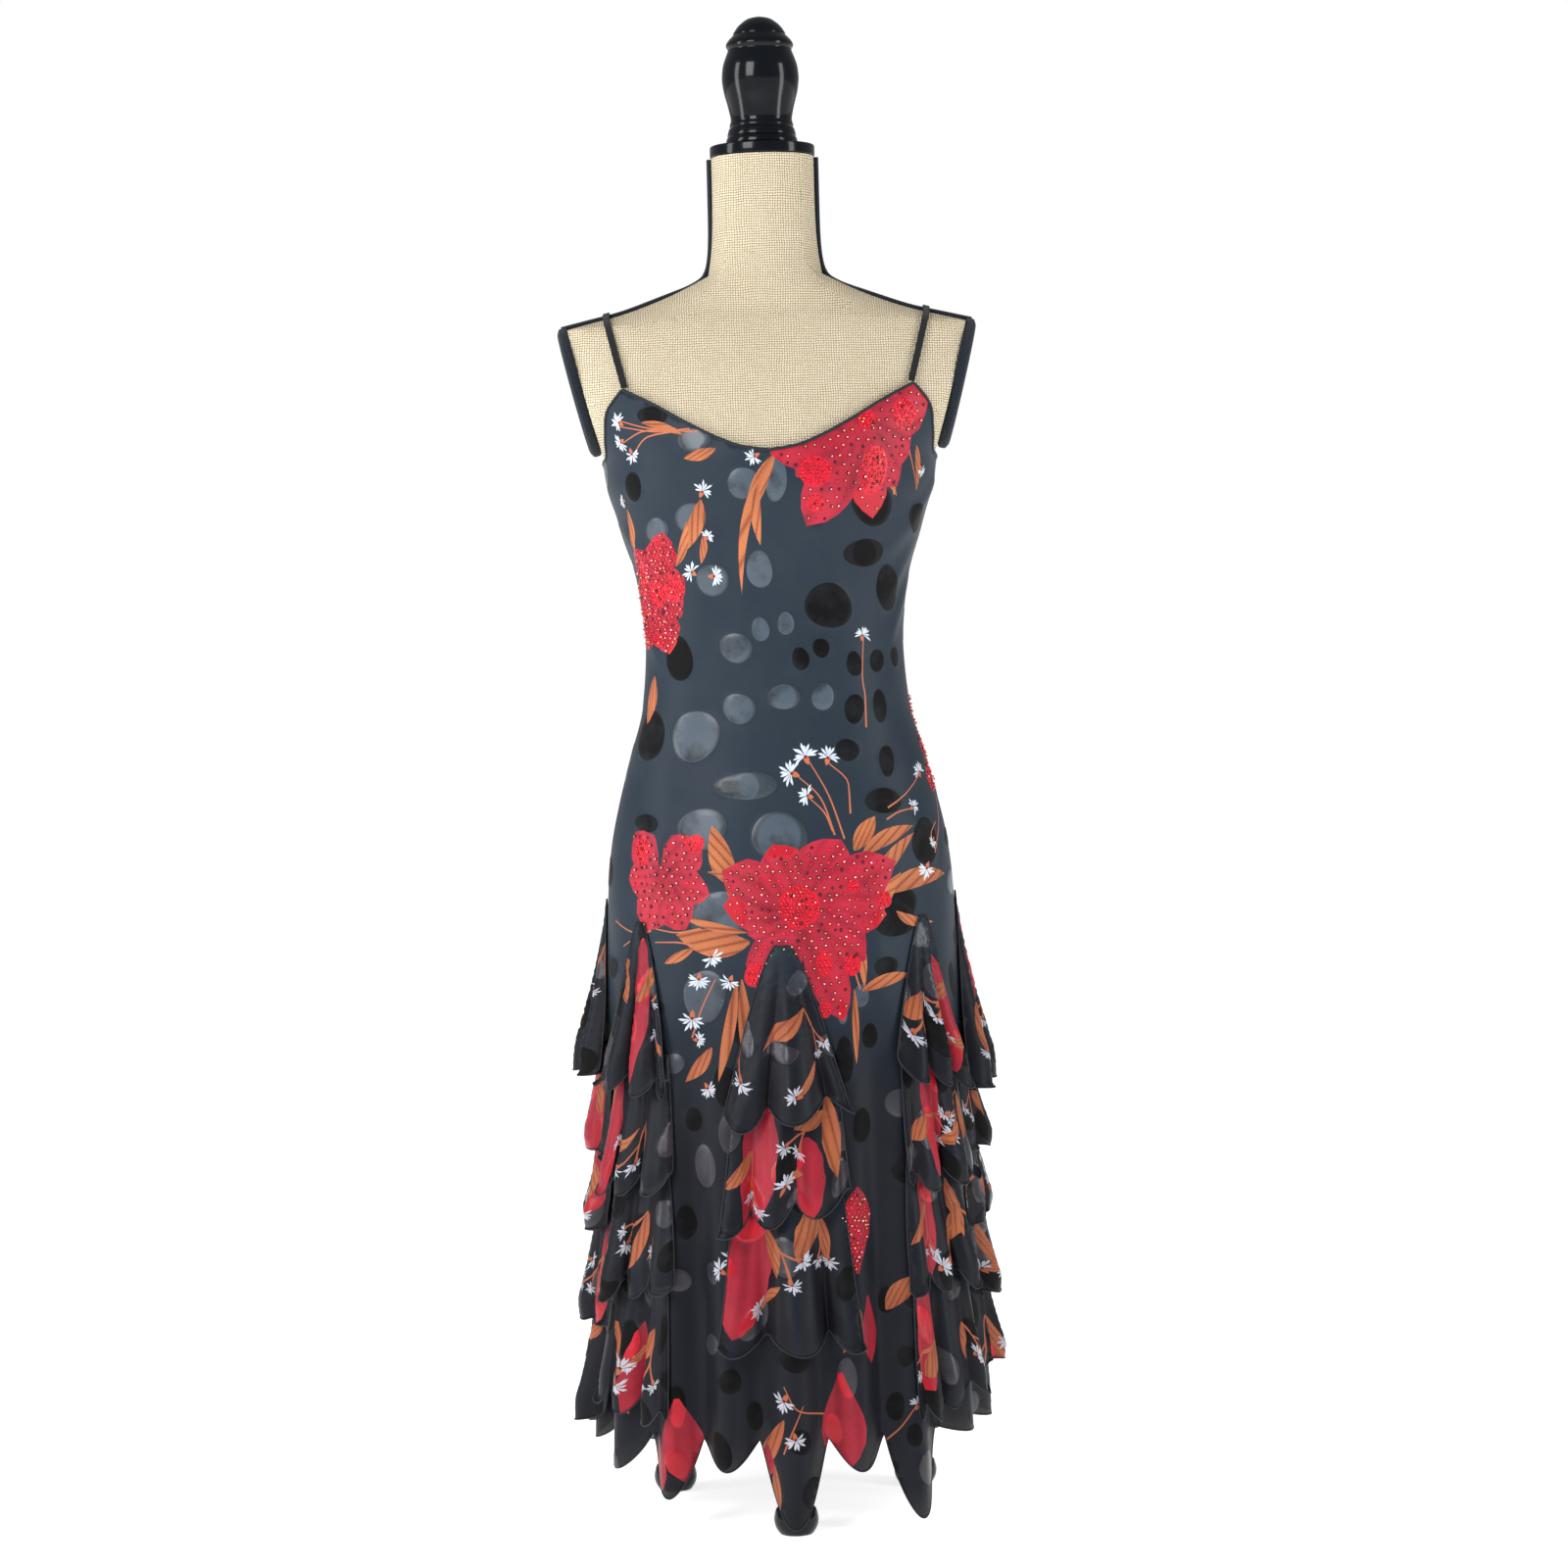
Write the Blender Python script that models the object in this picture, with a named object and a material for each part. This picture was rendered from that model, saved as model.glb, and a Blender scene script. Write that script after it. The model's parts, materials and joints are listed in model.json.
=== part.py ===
"""A sleeveless slip dress with ruffle columns, on a limbless dress form with a tripod stand.

Metres, +Z up. The dress faces -Y, and +X is the viewer's right. The origin lies on the floor
under the pole. A place on the body or the dress is given by its height and its turn: the angle
round the pole in degrees, 0 at the centre front, 90 at the viewer's right side, 180 at the back.
"""

import math
from collections import namedtuple

import bmesh
import bpy
from mathutils import Vector

# Driving sizes of the cloth
CLOTH = 0.0015
RUFFLE_CLOTH = 0.0012
BODY_CLEARANCE = 0.0005
SEAM_GAP = 0.0003
RUFFLE_SEAM_GAP = 0.0010
SIDE_SEAM_TURN = 0.045
CHEST_Z = 0.925
HIP_Z = 0.574
CHEST_EASE = 0.0016
WAIST_EASE = 0.006
WAIST_Z = 0.77
WAIST_EASE_REACH = 0.11

# Horizontal sections are superellipses with this exponent
SECTION_POWER = 2.2
BODICE_STEPS = 24
SKIRT_STEPS = 48
BODY_STEPS = 32

# The form's sections: height, then half width, depth in front of and behind the pole's axis
Section = namedtuple("Section", "z side front back")
FORM = (
    Section(1.2225, 0.0465, 0.0480, 0.0480),
    Section(1.1460, 0.0465, 0.0490, 0.0490),
    Section(1.1170, 0.0520, 0.0540, 0.0560),
    Section(1.1000, 0.0850, 0.0590, 0.0620),
    Section(1.0840, 0.1290, 0.0640, 0.0690),
    Section(1.0780, 0.1560, 0.0685, 0.0730),
    Section(1.0700, 0.1885, 0.0740, 0.0790),
    Section(1.0400, 0.1950, 0.0890, 0.0910),
    Section(1.0000, 0.1850, 0.1060, 0.0960),
    Section(0.9700, 0.1600, 0.1170, 0.0955),
    Section(0.9500, 0.1475, 0.1210, 0.0940),
    Section(CHEST_Z, 0.1438, 0.1205, 0.0910),
    Section(0.8870, 0.1337, 0.1100, 0.0850),
    Section(0.8436, 0.1210, 0.0945, 0.0790),
    Section(0.7875, 0.1144, 0.0850, 0.0755),
    Section(0.7306, 0.1186, 0.0870, 0.0830),
    Section(0.6880, 0.1302, 0.0930, 0.0960),
    Section(0.6450, 0.1420, 0.0995, 0.1090),
    Section(0.6030, 0.1508, 0.1050, 0.1170),
    Section(HIP_Z, 0.1540, 0.1070, 0.1185),
    Section(0.5300, 0.1540, 0.1060, 0.1170),
    Section(0.5080, 0.1480, 0.1010, 0.1110),
    Section(0.5000, 0.1360, 0.0900, 0.1000),
)

# The skirt's own sections below the hip, with how deep its flutes stand
SkirtSection = namedtuple("SkirtSection", "z side front back flute")
SKIRT = (
    SkirtSection(HIP_Z, 0.1560, 0.1098, 0.1212, 0.0000),
    SkirtSection(0.5200, 0.1585, 0.1150, 0.1240, 0.0005),
    SkirtSection(0.4500, 0.1610, 0.1220, 0.1290, 0.0015),
    SkirtSection(0.3700, 0.1640, 0.1300, 0.1340, 0.0035),
    SkirtSection(0.2900, 0.1660, 0.1360, 0.1390, 0.0055),
    SkirtSection(0.2100, 0.1680, 0.1420, 0.1440, 0.0075),
    SkirtSection(0.1400, 0.1700, 0.1470, 0.1480, 0.0090),
    SkirtSection(0.0700, 0.1720, 0.1510, 0.1520, 0.0100),
    SkirtSection(0.0000, 0.1735, 0.1545, 0.1550, 0.0110),
)
HEM_NOTCH_Z = 0.086
HEM_POINT_POWER = 0.55

# Each flute of the skirt: its turn, how much of the full depth it has, and its lowest point
Flute = namedtuple("Flute", "turn depth low")
FLUTES = (
    Flute(0.0, 1.00, 0.010),
    Flute(17.5, 0.80, 0.058),
    Flute(36.0, 1.05, 0.012),
    Flute(61.0, 0.75, 0.078),
    Flute(88.0, 0.90, 0.078),
    Flute(112.0, 0.80, 0.070),
    Flute(135.0, 1.00, 0.040),
    Flute(157.5, 0.75, 0.062),
    Flute(180.0, 1.00, 0.030),
    Flute(202.5, 0.80, 0.060),
    Flute(225.0, 1.00, 0.036),
    Flute(248.0, 0.75, 0.058),
    Flute(272.0, 0.95, 0.066),
    Flute(299.0, 0.85, 0.052),
    Flute(324.0, 1.00, 0.034),
    Flute(342.5, 0.80, 0.060),
)

# The upper edges of the panels, given on one half and mirrored
EdgePoint = namedtuple("EdgePoint", "turn z")
FRONT_EDGE = (
    EdgePoint(0.0, 0.9555),
    EdgePoint(7.5, 0.9594),
    EdgePoint(15.0, 0.9682),
    EdgePoint(22.5, 0.9812),
    EdgePoint(30.0, 0.9975),
    EdgePoint(40.0, 1.0135),
    EdgePoint(47.0, 0.9990),
    EdgePoint(60.0, 0.9750),
    EdgePoint(75.0, 0.9545),
    EdgePoint(90.0, 0.9500),
)
BACK_EDGE = (
    EdgePoint(90.0, 0.9500),
    EdgePoint(105.0, 0.9530),
    EdgePoint(120.0, 0.9600),
    EdgePoint(132.0, 0.9700),
    EdgePoint(137.5, 0.9740),
    EdgePoint(145.0, 0.9660),
    EdgePoint(165.0, 0.9560),
    EdgePoint(180.0, 0.9530),
)
STRAP_TURN_FRONT = 40.0
STRAP_TURN_BACK = 137.5
STRAP_COLUMN_FRONT = 37.5
STRAP_COLUMN_BACK = 135.0

# The ruffle columns: middle turn, half width in degrees, and where their waves start.
# Each tier has its top, its foot, its waves, where they start and how far they flare.
Tier = namedtuple("Tier", "top foot waves start flare")
Column = namedtuple("Column", "name turn half start tiers")
RIGHT_TIERS = (
    Tier(0.556, 0.385, 3.0, 0.10, 0.027),
    Tier(0.412, 0.326, 3.0, 0.55, 0.014),
    Tier(0.350, 0.266, 3.0, 0.25, 0.010),
    Tier(0.290, 0.192, 3.0, 0.80, 0.016),
    Tier(0.218, 0.130, 3.0, 0.40, 0.012),
)
LEFT_TIERS = (
    Tier(0.556, 0.402, 3.0, 0.10, 0.025),
    Tier(0.428, 0.335, 3.0, 0.55, 0.012),
    Tier(0.360, 0.262, 3.0, 0.25, 0.014),
    Tier(0.288, 0.176, 3.0, 0.80, 0.014),
    Tier(0.202, 0.082, 3.0, 0.40, 0.020),
)
FRONT_TIERS = (
    Tier(0.540, 0.398, 3.0, 0.60, 0.020),
    Tier(0.424, 0.308, 3.0, 0.15, 0.018),
    Tier(0.334, 0.216, 3.0, 0.85, 0.016),
    Tier(0.242, 0.112, 3.0, 0.35, 0.016),
)
CENTER_TIERS = (
    Tier(0.519, 0.372, 2.5, 0.50, 0.020),
    Tier(0.398, 0.286, 2.5, 0.05, 0.018),
    Tier(0.312, 0.172, 2.5, 0.65, 0.018),
)
COLUMNS = (
    Column("center", 0.0, 17.0, 0.00, CENTER_TIERS),
    Column("front_right", 51.0, 17.5, 0.00, FRONT_TIERS),
    Column("front_left", -51.0, 17.5, 0.37, FRONT_TIERS),
    Column("side_right", 90.0, 17.5, 0.15, RIGHT_TIERS),
    Column("side_left", -90.0, 17.5, 0.60, LEFT_TIERS),
    Column("back_right", 130.0, 17.5, 0.45, FRONT_TIERS),
    Column("back_left", -130.0, 17.5, 0.80, FRONT_TIERS),
    Column("back", 180.0, 17.5, 0.25, FRONT_TIERS),
)
RUFFLE_STEPS = 15
RUFFLE_ROWS = 2
RUFFLE_LIFT = 0.007
RUFFLE_SWAY = 0.0035
RUFFLE_DIP = 0.008
APEX_HALF_TURN = 1.5
TIER_TOP_SHARE = 0.82

# Straps
STRAP_WIDTH = 0.006
STRAP_THICK = 0.0015
STRAP_LIFT = 0.0018
STRAP_SAMPLES = 24
SHOULDER_X = 0.144
SHOULDER_Z = 1.0807
SHOULDER_SLOPE = 0.25

# Arm plates, braid and neck
PLATE_TOP_X = 0.1780
PLATE_TOP_Z = 1.0660
PLATE_SLOPE = 0.25
ARM_CUT_FOOT_Z = 0.949
ARM_PLATE_TALL = 0.0505
ARM_PLATE_DEEP = 0.0435
ARM_PLATE_THICK = 0.0040
ARM_PLATE_CENTER_Z = 1.0170
BRAID_RADIUS = 0.0045
BRAID_WIDTH = 0.009
BRAID_THICK = 0.0020
BRAID_LIFT = 0.0008
BRAID_HEIGHTS = (1.2218, 1.1460, 1.1170, 1.1000, 1.0840, 1.0780, 1.0762)
NECK_TOP_Z = 1.2225
NECK_PLATE_RADIUS = 0.0473
NECK_PLATE_THICK = 0.0106

# The stand
POLE_RADIUS = 0.0125
HUB_TOP_Z = 0.205
HUB_FOOT_Z = 0.105
HUB_RADIUS = 0.030
LEG_COUNT = 3
LEG_TURN = 0.0
FOOT_RADIUS = 0.0210
FOOT_HEIGHT = 0.0260
FOOT_REACH = 0.1290
LEG_RADIUS = 0.0115
TURNED_STEPS = 18

# Colours, as base colour, roughness and metallic
Finish = namedtuple("Finish", "color rough metal")
BLACK_CHIFFON = Finish((0.020, 0.026, 0.031), 0.62, 0.0)
BURLAP = Finish((0.66, 0.53, 0.33), 0.90, 0.0)
BLACK_PAINT = Finish((0.006, 0.006, 0.007), 0.18, 0.0)
BLACK_BRAID = Finish((0.010, 0.015, 0.022), 0.85, 0.0)
CREAM_CLOTH = Finish((0.78, 0.62, 0.50), 0.85, 0.0)


def clear_scene():
    for obj in list(bpy.data.objects):
        bpy.data.objects.remove(obj, do_unlink=True)


def material(name, finish):
    made = bpy.data.materials.get(name) or bpy.data.materials.new(name)
    made.use_nodes = True
    shader = made.node_tree.nodes["Principled BSDF"]
    shader.inputs["Base Color"].default_value = (*finish.color, 1.0)
    shader.inputs["Roughness"].default_value = finish.rough
    shader.inputs["Metallic"].default_value = finish.metal
    return made


def add_object(name, bm, finish, smooth=40.0):
    """Turns a bmesh into the named object, with its faces outwards and its own material."""
    bmesh.ops.recalc_face_normals(bm, faces=bm.faces)
    mesh = bpy.data.meshes.new(name)
    bm.to_mesh(mesh)
    bm.free()
    mesh.shade_smooth()
    mesh.set_sharp_from_angle(angle=math.radians(smooth))
    obj = bpy.data.objects.new(name, mesh)
    bpy.context.scene.collection.objects.link(obj)
    mesh.materials.append(material(name, finish))
    return obj


def between(table, key, value, column):
    """Reads one column of a table whose rows go steadily up or down in key."""
    rows = sorted(table, key=lambda row: getattr(row, key))
    if value <= getattr(rows[0], key):
        return getattr(rows[0], column)
    for low, high in zip(rows, rows[1:]):
        start, end = getattr(low, key), getattr(high, key)
        if value <= end:
            share = (value - start) / (end - start)
            return getattr(low, column) * (1 - share) + getattr(high, column) * share
    return getattr(rows[-1], column)


def power(value, exponent):
    return math.copysign(abs(value) ** exponent, value)


def section_point(side, front, back, turn, out):
    """A point of a superellipse section, moved outwards along the section's own normal."""
    angle = math.radians(turn)
    across, ahead = math.sin(angle), math.cos(angle)
    depth = front if ahead >= 0 else back
    x = side * power(across, 2 / SECTION_POWER)
    y = -depth * power(ahead, 2 / SECTION_POWER)
    normal = Vector((
        power(x / side, SECTION_POWER - 1) / side,
        power(y / depth, SECTION_POWER - 1) / depth,
    )).normalized()
    return Vector((x, y)) + normal * out


def form_point(turn, z, out=0.0):
    sizes = [between(FORM, "z", z, column) for column in ("side", "front", "back")]
    flat = section_point(*sizes, turn, out)
    return Vector((flat.x, flat.y, z))


def waist_ease(z):
    """The cloth hangs a little off the hollow of the waist."""
    reach = min(abs(z - WAIST_Z) / WAIST_EASE_REACH, 1.0)
    return WAIST_EASE * (0.5 + 0.5 * math.cos(math.pi * reach))


def flute_at(turn):
    """The flutes on both sides of a turn, and how far it lies from the first to the second."""
    for low, high in zip(FLUTES, (*FLUTES[1:], FLUTES[0])):
        width = (high.turn - low.turn) % 360
        past = (turn - low.turn) % 360
        if past < width:
            return low, high, past / width
    raise ValueError("the flutes leave a gap")


def flute_wave(turn):
    """The skirt's flutes: full depth out on a crest, full depth in at the hollow beside it."""
    low, high, share = flute_at(turn)
    blend = 0.5 - 0.5 * math.cos(math.pi * share)
    depth = low.depth * (1 - blend) + high.depth * blend
    return depth * math.cos(2 * math.pi * share)


def hem_z(turn):
    low, high, share = flute_at(turn)
    crest = (0.5 + 0.5 * math.cos(2 * math.pi * share)) ** HEM_POINT_POWER
    lowest = low.low if share < 0.5 else high.low
    return HEM_NOTCH_Z - (HEM_NOTCH_Z - lowest) * crest


def dress_point(turn, z, out=0.0):
    """A point of the dress's outer face, moved outwards."""
    if z >= HIP_Z:
        sizes = [between(FORM, "z", z, column) for column in ("side", "front", "back")]
        chest = CHEST_EASE * min(max((z - CHEST_Z) / 0.02 + 1.0, 0.0), 1.0)
        ease = BODY_CLEARANCE + CLOTH + chest
        ahead = abs(math.cos(math.radians(turn)))
        flat = section_point(*sizes, turn, out + ease + waist_ease(z) * ahead)
        return Vector((flat.x, flat.y, z))
    sizes = [between(SKIRT, "z", z, column) for column in ("side", "front", "back")]
    depth = between(SKIRT, "z", z, "flute")
    flat = section_point(*sizes, turn, out + depth * flute_wave(turn))
    return Vector((flat.x, flat.y, z))


def panel_turns(start, steps):
    """Even turns over half the dress, held back at both side seams."""
    step = 180.0 / steps
    turns = [start + step * index for index in range(steps + 1)]
    turns[0] += SIDE_SEAM_TURN
    turns[-1] -= SIDE_SEAM_TURN
    return turns


SKIRT_ROWS = (0.520, 0.450, 0.370, 0.290, 0.210, 0.140)
CHEST_SHARES = (1.0, 0.72, 0.46, 0.22, 0.0)
BODICE_ROWS = (0.887, 0.8436, 0.7875, 0.7306, 0.688, 0.645, 0.603)


def edge_z(turn):
    folded = abs((turn + 180) % 360 - 180)
    table = FRONT_EDGE if folded <= 90 else BACK_EDGE
    return between(table, "turn", folded, "z")


def slid_turn(turn, share):
    """Slides the column nearest a strap sideways, so that the edge peaks at the strap."""
    folded = abs((turn + 180) % 360 - 180)
    for column, target in (
        (STRAP_COLUMN_FRONT, STRAP_TURN_FRONT),
        (STRAP_COLUMN_BACK, STRAP_TURN_BACK),
    ):
        if abs(folded - column) < 0.1:
            moved = column + (target - column) * share
            return turn + math.copysign(moved - folded, (turn + 180) % 360 - 180)
    return turn


def skirt_column(turn):
    """The heights of one column of the skirt's grid, from the hip to the hem."""
    hem = hem_z(turn)
    last = SKIRT_ROWS[-1]
    return [HIP_Z, *SKIRT_ROWS, (last + hem) / 2, hem]


def panel_rows(start, out):
    """Rows of points from the upper edge to the hem; the skirt's rows are twice as fine."""
    rows = []
    coarse = panel_turns(start, BODICE_STEPS)
    for share in CHEST_SHARES:
        row = []
        for turn in coarse:
            place = slid_turn(turn, share)
            z = CHEST_Z + (edge_z(place) - CHEST_Z) * share
            row.append(dress_point(place, z, out))
        rows.append(row)
    for z in BODICE_ROWS:
        rows.append([dress_point(turn, z, out) for turn in coarse])
    columns = []
    for turn in panel_turns(start, SKIRT_STEPS):
        columns.append([dress_point(turn, z, out) for z in skirt_column(turn)])
    rows.extend(map(list, zip(*columns)))
    return rows


def stitch(bm, upper, lower):
    """Joins two rows, one to one or one to two."""
    if len(upper) == len(lower):
        for index in range(len(upper) - 1):
            bm.faces.new((upper[index], lower[index], lower[index + 1], upper[index + 1]))
        return
    for index in range(len(upper) - 1):
        left, right = upper[index], upper[index + 1]
        first, middle, last = lower[2 * index:2 * index + 3]
        bm.faces.new((left, first, middle))
        bm.faces.new((left, middle, right))
        bm.faces.new((right, middle, last))


def wall(outer_rows, inner_rows):
    """A closed wall between an outer and an inner sheet of points."""
    bm = bmesh.new()
    outer = [[bm.verts.new(point) for point in row] for row in outer_rows]
    inner = [[bm.verts.new(point) for point in row] for row in inner_rows]
    for sheet in (outer, inner):
        for upper, lower in zip(sheet, sheet[1:]):
            stitch(bm, upper, lower)
    for index in (0, -1):
        stitch(bm, outer[index], inner[index])
        stitch(bm, [row[index] for row in outer], [row[index] for row in inner])
    return bm


def dress_panel(name, start):
    bm = wall(panel_rows(start, 0.0), panel_rows(start, -CLOTH))
    return add_object(name, bm, BLACK_CHIFFON, smooth=60.0)


def column_at(turn, z):
    """Where one column of the skirt's grid stands at this height."""
    heights = skirt_column(turn)
    for upper, lower in zip(heights, heights[1:]):
        if z >= lower or lower == heights[-1]:
            share = (upper - z) / (upper - lower)
            return dress_point(turn, upper).lerp(dress_point(turn, lower), share)
    raise ValueError("the skirt's column has no heights")


def skirt_face(turn, z):
    """A point on the flat facets of the skirt between two columns of its grid."""
    step = 180.0 / SKIRT_STEPS
    base = math.floor(turn / step) * step
    share = (turn - base) / step
    return column_at(base, z).lerp(column_at(base + step, z), share)


def outward(turn):
    return Vector((math.sin(math.radians(turn)), -math.cos(math.radians(turn)), 0.0))


def ruffle_point(column, tier, first, across, down, out):
    """A point of one tier: across from -1 to 1, down from 0 at the seam to 1 at the foot."""
    narrow = APEX_HALF_TURN if first else column.half * TIER_TOP_SHARE
    half = narrow + (column.half - narrow) * down ** 0.75
    swing = 2 * math.pi * (tier.waves * (across + 1) / 2 + tier.start + column.start)
    turn = column.turn + across * half
    z = tier.top + (tier.foot - tier.top) * down
    z -= RUFFLE_DIP * down * math.cos(swing)
    crest = 0.5 + 0.5 * math.cos(swing)
    lift = RUFFLE_LIFT * down ** 1.2 + tier.flare * down ** 1.6 * crest
    normal = outward(turn)
    along = Vector((-normal.y, normal.x, 0.0))
    point = skirt_face(turn, z) + normal * (RUFFLE_SEAM_GAP + lift + out)
    return point + along * (RUFFLE_SWAY * down * math.sin(swing))


def ruffle(column, number, tier):
    first = number == 1
    sheets = []
    for out in (RUFFLE_CLOTH, 0.0):
        rows = []
        for row in range(RUFFLE_ROWS + 1):
            down = row / RUFFLE_ROWS
            rows.append([
                ruffle_point(column, tier, first, 2 * step / RUFFLE_STEPS - 1, down, out)
                for step in range(RUFFLE_STEPS + 1)
            ])
        sheets.append(rows)
    name = f"ruffle_{column.name}_{number}"
    return add_object(name, wall(*sheets), BLACK_CHIFFON, smooth=60.0)


def turned(name, profile, finish, center=(0.0, 0.0), steps=TURNED_STEPS):
    """A solid turned about the vertical: profile rows are radius and height, top to bottom."""
    bm = bmesh.new()
    rings = []
    for radius, z in profile:
        if radius == 0.0:
            rings.append([bm.verts.new((center[0], center[1], z))])
            continue
        ring = []
        for step in range(steps):
            angle = 2 * math.pi * step / steps
            spot = (radius * math.cos(angle), radius * math.sin(angle))
            ring.append(bm.verts.new((center[0] + spot[0], center[1] + spot[1], z)))
        rings.append(ring)
    loft(bm, rings)
    return add_object(name, bm, finish)


def loft(bm, rings):
    """Skins closed rings in order; an end ring of one point closes in a tip."""
    for upper, lower in zip(rings, rings[1:]):
        count = max(len(upper), len(lower))
        for step in range(count):
            after = (step + 1) % count
            if len(upper) == 1:
                bm.faces.new((upper[0], lower[step], lower[after]))
            elif len(lower) == 1:
                bm.faces.new((upper[step], lower[0], upper[after]))
            else:
                bm.faces.new((upper[step], lower[step], lower[after], upper[after]))
    for ring in (rings[0], rings[-1]):
        if len(ring) > 2:
            bm.faces.new(ring)


def arm_plane(side):
    """A point on the plane where the form is cut off at the arm, and its outward normal."""
    point = Vector((side * PLATE_TOP_X, 0.0, PLATE_TOP_Z))
    normal = Vector((side, 0.0, -PLATE_SLOPE)).normalized()
    return point, normal


def form_torso():
    bm = bmesh.new()
    rings = []
    for section in FORM:
        rings.append([
            bm.verts.new(form_point(360.0 * step / BODY_STEPS, section.z))
            for step in range(BODY_STEPS)
        ])
    loft(bm, rings)
    for side in (-1, 1):
        point, normal = arm_plane(side)
        chest = [vert for vert in bm.verts if vert.co.z > ARM_CUT_FOOT_Z]
        inside = set(chest)
        edges = [edge for edge in bm.edges if inside.issuperset(edge.verts)]
        faces = [face for face in bm.faces if inside.issuperset(face.verts)]
        cut = bmesh.ops.bisect_plane(
            bm, geom=[*chest, *edges, *faces], dist=1e-6,
            plane_co=point, plane_no=normal, clear_outer=True,
        )
        edges = [item for item in cut["geom_cut"] if isinstance(item, bmesh.types.BMEdge)]
        bmesh.ops.contextual_create(bm, geom=edges)
    return add_object("form_torso", bm, BURLAP, smooth=50.0)


def arm_place(side, tall, deep, angle, lift):
    """A point round the arm plate's centre, in the cut plane and lifted off it."""
    point, normal = arm_plane(side)
    upright = Vector((side * PLATE_SLOPE, 0.0, 1.0)).normalized()
    center = point + upright * ((ARM_PLATE_CENTER_Z - PLATE_TOP_Z) / upright.z)
    spot = upright * (tall * math.sin(angle)) + Vector((0.0, deep * math.cos(angle), 0.0))
    return center + spot + normal * lift


def arm_plate(name, side):
    bm = bmesh.new()
    steps = 28
    rings = []
    for lift, inset in (
        (SEAM_GAP, 0.0),
        (SEAM_GAP + ARM_PLATE_THICK * 0.8, 0.0),
        (SEAM_GAP + ARM_PLATE_THICK, 0.0015),
    ):
        rings.append([
            bm.verts.new(arm_place(side, ARM_PLATE_TALL - inset, ARM_PLATE_DEEP - inset,
                                   2 * math.pi * step / steps, lift))
            for step in range(steps)
        ])
    loft(bm, rings)
    return add_object(name, bm, CREAM_CLOTH)


def arm_braid(name, side):
    """The round braid that covers the edge of the arm plate."""
    bm = bmesh.new()
    steps, sides = 28, 6
    reach = BRAID_RADIUS + SEAM_GAP
    rings = []
    for step in range(steps):
        angle = 2 * math.pi * step / steps
        ring = []
        for corner in range(sides):
            around = 2 * math.pi * (corner + 0.5) / sides
            wide = reach + BRAID_RADIUS * math.cos(around)
            lift = SEAM_GAP + BRAID_RADIUS * (1 + math.sin(around))
            ring.append(bm.verts.new(arm_place(
                side, ARM_PLATE_TALL + wide, ARM_PLATE_DEEP + wide, angle, lift)))
        rings.append(ring)
    for index in range(steps):
        current, following = rings[index], rings[(index + 1) % steps]
        for corner in range(sides):
            after = (corner + 1) % sides
            bm.faces.new((current[corner], current[after], following[after], following[corner]))
    return add_object(name, bm, BLACK_BRAID)


def ribbon(name, spots, width, thick, finish):
    """A flat strip along spots: each is a point, the way its face looks and its width's way."""
    bm = bmesh.new()
    rings = []
    for point, up, across in spots:
        side = across * (width / 2)
        high = point + up * thick
        rings.append([
            bm.verts.new(spot)
            for spot in (point - side, point + side, high + side, high - side)
        ])
    loft(bm, rings)
    return add_object(name, bm, finish)


def seam_braid(name, side):
    """The braid down the side of the neck and along the shoulder to the arm plate."""
    points = [form_point(side * 90.0, z) for z in BRAID_HEIGHTS]
    spots = []
    for index, point in enumerate(points):
        before = points[max(index - 1, 0)]
        after = points[min(index + 1, len(points) - 1)]
        run = (after - before).normalized()
        up = Vector((-run.z * side, 0.0, run.x * side))
        spots.append((point + up * (SEAM_GAP + BRAID_LIFT), up, Vector((0.0, 1.0, 0.0))))
    return ribbon(name, spots, BRAID_WIDTH, BRAID_THICK, BLACK_BRAID)


def strap_outline(side):
    """Places of the form under the strap, front to back, as Vectors."""
    ends = []
    for turn in (STRAP_TURN_FRONT, STRAP_TURN_BACK):
        end = dress_point(side * turn, edge_z(turn), -CLOTH)
        ends.append(end + Vector((0.0, 0.0, SEAM_GAP)))
    outline = []
    for end, column, way in ((ends[0], "front", -1), (ends[1], "back", 1)):
        places = []
        for step in range(1, STRAP_SAMPLES):
            share = step / STRAP_SAMPLES
            z = end.z + (SHOULDER_Z - end.z) * share
            x = abs(end.x) + (SHOULDER_X - abs(end.x)) * share
            width = between(FORM, "z", z, "side")
            level = max(1 - (x / width) ** SECTION_POWER, 0.0) ** (1 / SECTION_POWER)
            places.append(Vector((side * x, way * between(FORM, "z", z, column) * level, z)))
        outline.append([end, *places])
    crown = SHOULDER_Z + SEAM_GAP + BRAID_THICK + BRAID_LIFT
    over = [Vector((side * SHOULDER_X, way * BRAID_WIDTH * 0.6, crown)) for way in (-1, 1)]
    return [*outline[0], *over, *reversed(outline[1])]


def taut(route):
    """The places that a strap pulled tight still touches, seen from the side."""
    kept = []
    for point in route:
        while len(kept) > 1:
            run, step = kept[-1] - kept[-2], point - kept[-1]
            if run.y * step.z - run.z * step.y < 0:
                break
            kept.pop()
        kept.append(point)
    return kept


def strap(name, side):
    """A narrow strap from the front peak over the shoulder to the back peak."""
    route = taut(strap_outline(side))
    spots = []
    for index, point in enumerate(route):
        before = route[max(index - 1, 0)]
        after = route[min(index + 1, len(route) - 1)]
        run = (after - before).normalized()
        up = Vector((side * SHOULDER_SLOPE * abs(run.y), -run.z, run.y)).normalized()
        lift = 0.0 if point in (route[0], route[-1]) else STRAP_LIFT
        spots.append((point + up * lift, up, run.cross(up).normalized()))
    return ribbon(name, spots, STRAP_WIDTH, STRAP_THICK, BLACK_CHIFFON)


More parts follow.
